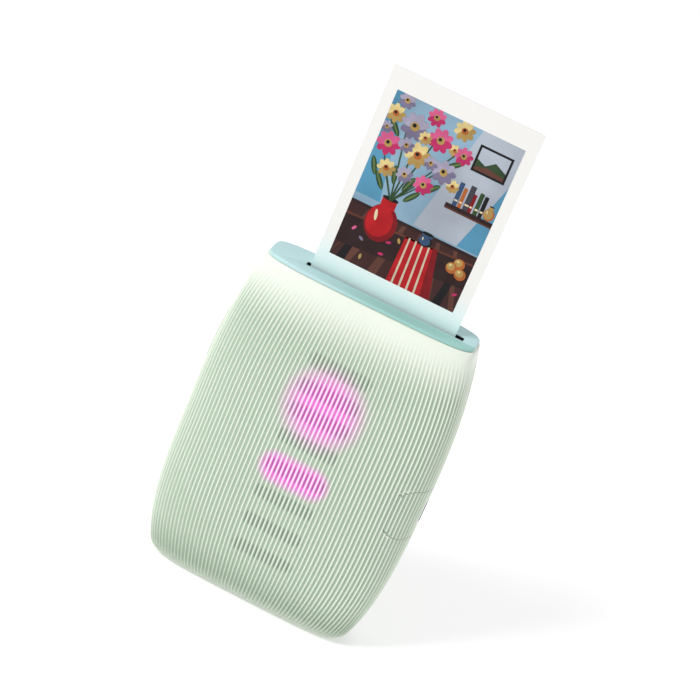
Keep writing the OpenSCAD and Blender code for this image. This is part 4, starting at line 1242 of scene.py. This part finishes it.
paintColours = {
    "wall": colour(136, 168, 190),
    "wallLight": colour(172, 180, 192),
    "wallShade": colour(84, 146, 178),
    "floor": colour(62, 34, 32),
    "floorLight": colour(96, 58, 48),
    "wood": colour(44, 24, 24),
    "woodLight": colour(92, 50, 38),
    "cloth": colour(178, 20, 28),
    "clothShade": colour(126, 12, 22),
    "clothStripe": colour(206, 196, 172),
    "green": colour(48, 72, 44),
    "greenLight": colour(92, 116, 66),
    "pink": colour(186, 44, 98),
    "pinkLight": colour(212, 92, 138),
    "gold": colour(176, 144, 82),
    "goldLight": colour(222, 200, 138),
    "lilac": colour(120, 112, 138),
    "lilacLight": colour(164, 158, 180),
    "cream": colour(222, 208, 172),
    "dark": colour(18, 16, 20),
    "grey": colour(66, 64, 72),
    "blue": colour(52, 78, 112),
    "orange": colour(176, 96, 44),
}
paintLook = {
    "deepen": 0.84,
    "lift": 0.003,
    "shine": 0.15,
    "small": (0.1, 260),  # how strong the mottling is and its scale
    "wide": (0.14, 45),
    "wideColours": ("wall", "wallLight", "wallShade", "floor", "floorLight"),
}


# a glossy printed colour with soft mottling
def paint(name):
    n = Nodes("film_" + name)
    p = paintLook
    mottle, scale = p["wide"] if name in p["wideColours"] else p["small"]
    base = toned(paintColours[name], p["deepen"])
    darker, lighter = toned(base, 1 - mottle), toned(base, 1 + mottle, p["lift"])
    n.set(Base_Color=n.mix(n.patches(scale, detail=4), darker, lighter))
    n.set(Roughness=n.patches(filmLook["glossScale"], *filmLook["rough"], spread=0.3))
    n.set(Specular_IOR_Level=p["shine"])
    return n.material


flower = {
    "petals": 8,
    "petalAt": 0.6,
    "petal": (0.48, 0.3),
    "middle": 0.34,
    "eye": 0.16,
    "eyeAt": (-0.06, 0.08),
}


# patches of one colour each, in millimetres from the picture's lower left corner
class Patches:
    def __init__(self):
        self.verts, self.faces, self.kinds = [], [], []

    # a closed patch, clipped to the picture; a higher layer lies further out
    def shape(self, points, layer, name):
        s = sheet
        w, h = s["image"]
        left, low = s["x"] - w / 2, s["top"] - s["imageTop"] - h
        floor = s["front"] + s["sunk"]
        ring = [(min(w, max(0, u)), min(h, max(0, v))) for u, v in points]
        ring = [p for i, p in enumerate(ring) if p != ring[i - 1]]
        n, base = len(ring), len(self.verts)
        area = sum(ring[i - 1][0] * ring[i][1] - ring[i][0] * ring[i - 1][1] for i in range(n))
        if area < 0:
            ring.reverse()
        for out in (s["patchFront"] + layer * s["layer"], s["patchBack"]):
            self.verts += [((left + u) * mm, (floor - out) * mm, (low + v) * mm) for u, v in ring]
        self.faces.append([base + i for i in range(n)])
        self.faces.append([base + n + i for i in reversed(range(n))])
        for i in range(n):
            j = (i + 1) % n
            self.faces.append((base + j, base + i, base + n + i, base + n + j))
        self.kinds += [list(paintColours).index(name)] * (n + 2)

    def box(self, u0, v0, u1, v1, layer, name):
        self.shape([(u0, v0), (u1, v0), (u1, v1), (u0, v1)], layer, name)

    def disc(self, u, v, ru, rv, layer, name, turn=0.0, sides=20):
        c, d = math.cos(turn), math.sin(turn)
        angles = [2 * math.pi * i / sides for i in range(sides)]
        ring = [(ru * math.cos(a), rv * math.sin(a)) for a in angles]
        self.shape([(u + a * c - b * d, v + a * d + b * c) for a, b in ring], layer, name)

    # an open flower: petals round a darker middle, lit from the upper left
    def blossom(self, u, v, r, layer, name):
        f = flower
        at, (long, wide) = r * f["petalAt"], f["petal"]
        for i in range(f["petals"]):
            a = 2 * math.pi * i / f["petals"] + u
            along, across = math.cos(a), math.sin(a)
            tone = name + "Light" if along * -0.5 + across * 0.85 > 0 else name
            self.disc(u + at * along, v + at * across, r * long, r * wide, layer + 0.03 * i, tone, a, 12)
        middle, eye, (right, up) = r * f["middle"], r * f["eye"], f["eyeAt"]
        self.disc(u, v, middle, middle, layer + 0.25, "orange" if name == "gold" else "gold", 0, 14)
        self.disc(u + r * right, v + r * up, eye, eye, layer + 0.28, "dark", 0, 10)

    # a vase or bowl with a neck and a lit side
    def jar(self, u, v, r, tall, neck, layer, name, shade):
        rim = v + tall * 1.35
        self.disc(u, v, r, tall, layer, shade)
        self.disc(u - r * 0.12, v + tall * 0.06, r * 0.82, tall * 0.84, layer + 0.1, name)
        self.box(u - neck, v + tall * 0.8, u + neck, rim, layer + 0.15, name)
        self.disc(u, rim, neck * 1.1, neck * 0.3, layer + 0.2, "dark")
        self.disc(u - r * 0.45, v + tall * 0.3, r * 0.1, tall * 0.3, layer + 0.3, "cream", 0.2, 12)

    def build(self):
        mesh = bpy.data.meshes.new("picture")
        mesh.from_pydata(self.verts, [], self.faces)
        for name in paintColours:
            mesh.materials.append(paint(name))
        mesh.polygons.foreach_set("material_index", self.kinds)
        mesh.update()
        obj = bpy.data.objects.new("picture", mesh)
        bpy.context.scene.collection.objects.link(obj)
        return obj


def paintRoom(p):
    w, h = sheet["image"]
    p.box(0, 0, w, h, 0, "wall")
    p.shape([(0, 24), (9, 24), (3, h), (0, h)], 1, "wallShade")
    p.shape([(22, 22), (w, 22), (w, h), (31, h)], 1, "wallLight")
    p.shape([(38, 22), (w, 22), (w, 48)], 2, "wallShade")
    # floorboards, which narrow towards the wall
    p.box(0, 0, w, 21, 1, "floor")
    for i in range(6):
        u = -6 + 10 * i
        far = 23 + (u - 18) * 0.62
        p.shape([(u, 0), (u + 3.2, 0), (far, 20.4), (far - 1.4, 20.4)], 2, "floorLight")
    p.box(0, 20.2, w, 21.4, 3, "wood")


# a colour, a height and a thickness for each book
books = (
    ("blue", 8.5, 1.6),
    ("orange", 7.2, 1.3),
    ("grey", 9.0, 1.9),
    ("clothShade", 6.6, 1.2),
    ("green", 8.0, 1.5),
    ("dark", 7.6, 1.4),
)


# shelf with books and a bowl, and a framed landscape above it
def paintShelf(p):
    w, board = sheet["image"][0], 34.4
    p.box(29, 33, w, board, 3, "wood")
    p.box(29, 32.4, w, 33, 3, "woodLight")
    for i, (name, tall, thick) in enumerate(books):
        u = 31 + 1.85 * i
        p.box(u, board, u + thick, board + tall, 4, name)
        p.box(u + 0.2, 36, u + thick - 0.2, 36.6, 5, "cream")
    p.jar(43.6, 36.6, 1.9, 2.2, 0.8, 4, "gold", "orange")
    p.box(32, 48, 44, 57.5, 3, "dark")
    p.box(32.8, 48.8, 43.2, 56.7, 4, "wallLight")
    left, right = (32.8, 48.8), (43.2, 48.8)
    p.shape([left, right, (43.2, 51.6), (39, 53.6), (36, 51.2), (32.8, 52.6)], 5, "green")
    p.shape([left, right, (43.2, 50), (37, 50.9), (32.8, 49.8)], 6, "floorLight")


# the table, two of its legs and the runner
def paintTable(p):
    w = sheet["image"][0]
    p.shape([(0, 5), (w, 9), (w, 18.5), (0, 16.5)], 4, "wood")
    p.shape([(0, 15.6), (w, 17.8), (w, 18.5), (0, 16.5)], 5, "woodLight")
    p.shape([(2.5, 0), (5.5, 0), (6.5, 6), (4, 6)], 3.5, "dark")
    p.shape([(38, 0), (41, 0), (42, 9.5), (39.6, 9.5)], 3.5, "dark")
    p.shape([(21, 0), (37, 0), (33, 17.7), (21.5, 17.2)], 5, "cloth")
    p.shape([(33.4, 0), (37, 0), (33, 17.7), (31.4, 17.6)], 6, "clothShade")
    for i in range(4):
        u, lean = 22.8 + 2.7 * i, 0.35 * i
        p.shape([(u, 0), (u + 0.7, 0), (u + 0.5 - lean, 17.3), (u - 0.1 - lean, 17.2)], 6, "clothStripe")


stemTips = ((3, 42), (8, 50), (13, 46), (18, 51), (24, 44), (6, 36), (20, 36), (28, 54))
# where each leaf lies and its turn
leaves = (
    (6, 31, 2.2),
    (18, 30.5, 0.9),
    (2.5, 35, 2.0),
    (23, 36, 0.8),
    (10, 35, 1.8),
    (15.5, 34, 1.2),
    (27, 47, 0.7),
    (4, 50, 2.3),
)
# where each blossom lies, its radius and its colour
bunch = (
    (4, 44, 4.0, "pink"),
    (10, 53, 4.6, "lilac"),
    (14.5, 44.5, 4.2, "gold"),
    (19.5, 52.5, 4.0, "pink"),
    (24.5, 43, 4.0, "lilac"),
    (6.5, 36, 3.0, "gold"),
    (20, 36, 3.2, "pink"),
    (2.5, 54.5, 3.2, "gold"),
    (15.5, 59, 3.0, "pink"),
    (25.5, 59, 3.4, "gold"),
    (9.8, 46, 2.6, "lilac"),
    (19.5, 44, 2.4, "lilac"),
    (4.5, 60, 2.8, "lilac"),
    (28.5, 51, 3.0, "pink"),
    (13, 36.5, 2.8, "lilac"),
    (25, 51.5, 2.0, "gold"),
    (29, 40, 2.2, "gold"),
    (1.5, 49, 2.0, "lilac"),
    (14.6, 51, 2.2, "gold"),
)


# a vase with stems, leaves and blossoms
def paintBunch(p):
    p.jar(12, 17.5, 5.6, 6.8, 2.6, 6, "cloth", "clothShade")
    for i, (u, v) in enumerate(stemTips):
        p.shape([(11.7, 26), (12.3, 26), (u + 0.25, v), (u - 0.25, v)], 8 + 0.1 * i, "green")
    for i, (u, v, turn) in enumerate(leaves):
        p.disc(u, v, 3.3, 1.0, 9 + 0.1 * i, "green", turn, 16)
        p.disc(u, v, 3.1, 0.35, 9.05 + 0.1 * i, "greenLight", turn, 12)
    for i, (u, v, r, name) in enumerate(bunch):
        p.blossom(u, v, r, 10 + 0.32 * (i % 7), name)


fruit = ((41.4, 16.4), (39.5, 14.2), (43, 13.2))
# where each fallen petal lies, its turn and its colour
fallen = (
    (17, 12.5, 0.4, "pink"),
    (20, 14.6, 2.0, "gold"),
    (4.5, 12, 1.0, "pinkLight"),
    (8, 9.6, 2.6, "lilac"),
    (16, 7.6, 0.2, "pink"),
    (10, 3.6, 1.6, "gold"),
    (44, 6, 0.7, "pink"),
)


# a cup, fruit and fallen petals on the table
def paintFruit(p):
    p.jar(28, 18.6, 2.4, 2.0, 1.9, 8, "blue", "dark")
    for i, (u, v) in enumerate(fruit):
        layer = 7 + 0.5 * i
        p.disc(u, v, 2.0, 2.0, layer, "orange")
        p.disc(u - 0.4, v + 0.4, 1.4, 1.3, layer + 0.1, "gold")
        p.disc(u - 0.7, v + 0.8, 0.5, 0.4, layer + 0.2, "goldLight")
    for u, v, turn, name in fallen:
        p.disc(u, v, 1.0, 0.5, 8, name, turn, 12)


# a made-up still life: a bunch of blossoms, a shelf with jars and a table with a red runner
def makePicture():
    p = Patches()
    for part in (paintRoom, paintShelf, paintTable, paintBunch, paintFruit):
        part(p)
    obj = p.build()
    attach(obj, "print")


makePicture()
print("stage: print")


boardLook = {
    "scale": 320,
    "traceWidth": 0.012,
    "strength": 0.35,
    "pale": (1.8, 0.02),
    "glossScale": 900,
    "rough": (0.3, 0.42),
    "depth": 0.01,
    "bumpStrength": 0.3,
}


def circuitBoard(name, base):
    n = Nodes(name)
    b = boardLook
    traces = n.add("TexBrick")
    traces.inputs["Scale"].default_value = b["scale"]
    traces.inputs["Mortar Size"].default_value = b["traceWidth"]
    n.link(n.stretched((1, 1, 1)), traces.inputs["Vector"])
    lines = traces.outputs["Fac"]
    n.set(Base_Color=n.mix(n.times(lines, b["strength"]), base, toned(base, *b["pale"])))
    n.set(Roughness=n.patches(b["glossScale"], *b["rough"], detail=3))
    n.bump(lines, b["depth"] * mm, b["bumpStrength"])
    return n.material


feltLook = {
    "fibre": (9000, 5, 0.7),
    "dark": 0.6,
    "rough": 0.95,
    "sheen": 0.08,
    "depth": 0.06,
    "strength": 0.8,
}


def felt(name, base):
    n = Nodes(name)
    f = feltLook
    fibre = n.noise(*f["fibre"])
    n.set(Base_Color=n.mix(fibre, toned(base, f["dark"]), base))
    n.set(Roughness=f["rough"], Sheen_Weight=f["sheen"])
    n.bump(fibre, f["depth"] * mm, f["strength"])
    return n.material


clearLook = {"coat": 0.3, "glossScale": 600, "rough": (0.08, 0.16)}


def clearPlastic(name, tint, alpha):
    n = Nodes(name)
    n.set(Base_Color=tint, Alpha=alpha, Coat_Weight=clearLook["coat"])
    n.set(Roughness=n.patches(clearLook["glossScale"], *clearLook["rough"], detail=3))
    return n.material


litLook = {"driftScale": 80, "pale": (1, 1, 1, 1), "glossScale": 900, "rough": (0.5, 0.6)}


# frosted plastic that glows from within
def litPlastic(name, tint, strength):
    n = Nodes(name)
    n.set(Base_Color=n.mix(n.patches(litLook["driftScale"], detail=3), tint, litLook["pale"]))
    n.set(Emission_Color=tint, Emission_Strength=strength)
    n.set(Roughness=n.patches(litLook["glossScale"], *litLook["rough"], detail=3))
    return n.material


green = circuitBoard("greenBoard", colour(28, 88, 56))
whiteBoard = circuitBoard("whiteBoard", colour(224, 230, 226))

clawSpring = {
    "turns": 5,
    "wire": 0.3,
    "perTurn": 24,
    "sides": 8,
    "clearance": 0.05,
    "travel": 6.0,
    "smoothBelow": 60,
}


# verts and faces of a wire wound round +Z, its ends closed, in metres
def windWire(c, middle, radius, start, length):
    count, n, thick = c["turns"] * c["perTurn"], c["sides"], c["wire"] / 2 * mm
    up = Vector((0, 0, 1))
    verts, faces = [], []
    for i in range(count + 1):
        a = 2 * math.pi * i / c["perTurn"]
        out = Vector((math.cos(a), math.sin(a), 0))
        centre = middle + out * radius + up * (start + length * i / count)
        for j in range(n):
            b = 2 * math.pi * j / n
            verts.append(centre + (out * math.cos(b) + up * math.sin(b)) * thick)
    for i in range(count):
        for j in range(n):
            k = (j + 1) % n
            faces.append((i * n + j, i * n + k, (i + 1) * n + k, (i + 1) * n + j))
    faces.append(tuple(range(n)))
    faces.append(tuple(count * n + j for j in reversed(range(n))))
    return verts, faces


# the claw's spring, a coil of wire wound in the box of the part it replaces
def makeClawSpring(c):
    low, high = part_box("claw_spring")
    thick = c["wire"] / 2 * mm
    middle = Vector(((low[0] + high[0]) / 2, (low[1] + high[1]) / 2, 0))
    start = low[2] + thick + c["clearance"] * mm
    verts, faces = windWire(c, middle, (high[0] - low[0]) / 2 - thick, start, high[2] - thick - start)
    spring = addObject("clawSpring", verts, faces, steel, c["smoothBelow"])
    fixNormals(spring)
    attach(spring, "housing")
    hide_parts("claw_spring")
    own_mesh(spring)


makeClawSpring(clawSpring)

finishes = {
    "film_print": filmGloss,
    "film_stack": filmGloss,
    "film_pack": darkPlastic,
    "chassis": darkPlastic,
    "print_head": darkPlastic,
    "button_switch": darkPlastic,
    "board_chips": plastic("chipResin", colour(24, 24, 26), 0.42, 0.2, 2500),
    "slot_felts": felt("blackFelt", colour(20, 20, 22)),
    "film_window": clearPlastic("smokedWindow", colour(60, 66, 64), 0.6),
    "door_latch": paleGrey,
    "latch_guide": greyPlastic,
    "latch_keeper": steel,
    "roller_frame": plastic("frameGrey", colour(54, 56, 59), 0.55, 0.1),
    "gear_bracket": steel,
    "door_pin": steel,
    "door_springs": steel,
    "pack_spring": steel,
    "roller_springs": steel,
    "idler_pin": rolledSteel,
    "motor_shaft": rolledSteel,
    "pressure_roller": rolledSteel,
    "motor": rolledSteel,
    "drive_roller": felt("rollerRubber", colour(42, 42, 44)),
    "roller_gear": gearPlastic,
    "idler_gear": gearPlastic,
    "motor_pinion": brass,
    "pick_claw": gearPlastic,
    "head_lead": plastic("amberFilm", colour(190, 112, 40), 0.3, 0.15),
    "main_board": green,
    "port_board": green,
    "switch_board": green,
    "light_board": whiteBoard,
    "light_chips": litPlastic("lamp", colour(255, 150, 240), 2.0),
    "round_light": litPlastic("roundGuide", colour(250, 190, 244), 0.6),
    "flat_light": litPlastic("flatGuide", colour(250, 190, 244), 0.6),
    "battery": plastic("foilPouch", colour(176, 182, 190), 0.32, 0.1, 800, 0.04 * mm),
    "cover_screws": darkSteel,
    "chassis_screws": darkSteel,
    "board_screws": darkSteel,
    "usb_socket": metal("socketSteel", colour(168, 172, 176), 0.24, (1, 1, 1)),
}
for name, material in finishes.items():
    mesh = nodes[name].data
    mesh.materials.clear()
    mesh.materials.append(material)
print("stage: finishes")


studio = {
    "floorSize": 6.0,
    "floorTones": ((0.93, 0.93, 0.93, 1), (0.95, 0.95, 0.95, 1)),
    "floorScale": 3,
    "floorRough": 0.9,
    "floorLift": 0.27,
    "world": (1.0, 1.0, 1.0, 1),
    "worldStrength": 0.43,
    "lights": {
        "key": {"at": (-1.0, -1.05, 1.35), "aim": (0, 0, 0.08), "size": 0.6, "power": 23},
        "side": {"at": (1.5, -0.1, 0.7), "aim": (0, 0, 0.08), "size": 1.1, "power": 3.5},
        "top": {"at": (0.1, 0.5, 1.6), "aim": (0, 0, 0.1), "size": 1.2, "power": 7},
    },
}


def addLight(name, spec):
    data = bpy.data.lights.new(name, "AREA")
    data.size = spec["size"]
    data.energy = spec["power"]
    light = bpy.data.objects.new(name, data)
    bpy.context.scene.collection.objects.link(light)
    light.location = spec["at"]
    light.rotation_mode = "QUATERNION"
    light.rotation_quaternion = (Vector(spec["aim"]) - Vector(spec["at"])).to_track_quat("-Z", "Y")


# a floor that lights itself a little, so that it stays as pale as the background
def makeFloor(s):
    n = Nodes("paleFloor")
    n.set(Base_Color=n.mix(n.patches(s["floorScale"], detail=3), *s["floorTones"]))
    n.set(Roughness=s["floorRough"])
    n.set(Emission_Color=(1, 1, 1, 1), Emission_Strength=s["floorLift"])
    h = s["floorSize"] / 2
    corners = [(-h, -h, 0), (h, -h, 0), (h, h, 0), (-h, h, 0)]
    addObject("floor", corners, [(0, 1, 2, 3)], n.material)


def makeStudio(s):
    makeFloor(s)
    world = bpy.data.worlds.new("studio")
    bpy.context.scene.world = world
    world.use_nodes = True
    background = world.node_tree.nodes["Background"]
    background.inputs["Color"].default_value = s["world"]
    background.inputs["Strength"].default_value = s["worldStrength"]
    for name, spec in s["lights"].items():
        addLight(name, spec)
    bpy.context.scene.view_settings.view_transform = "Standard"


makeStudio(studio)
print("stage: studio")
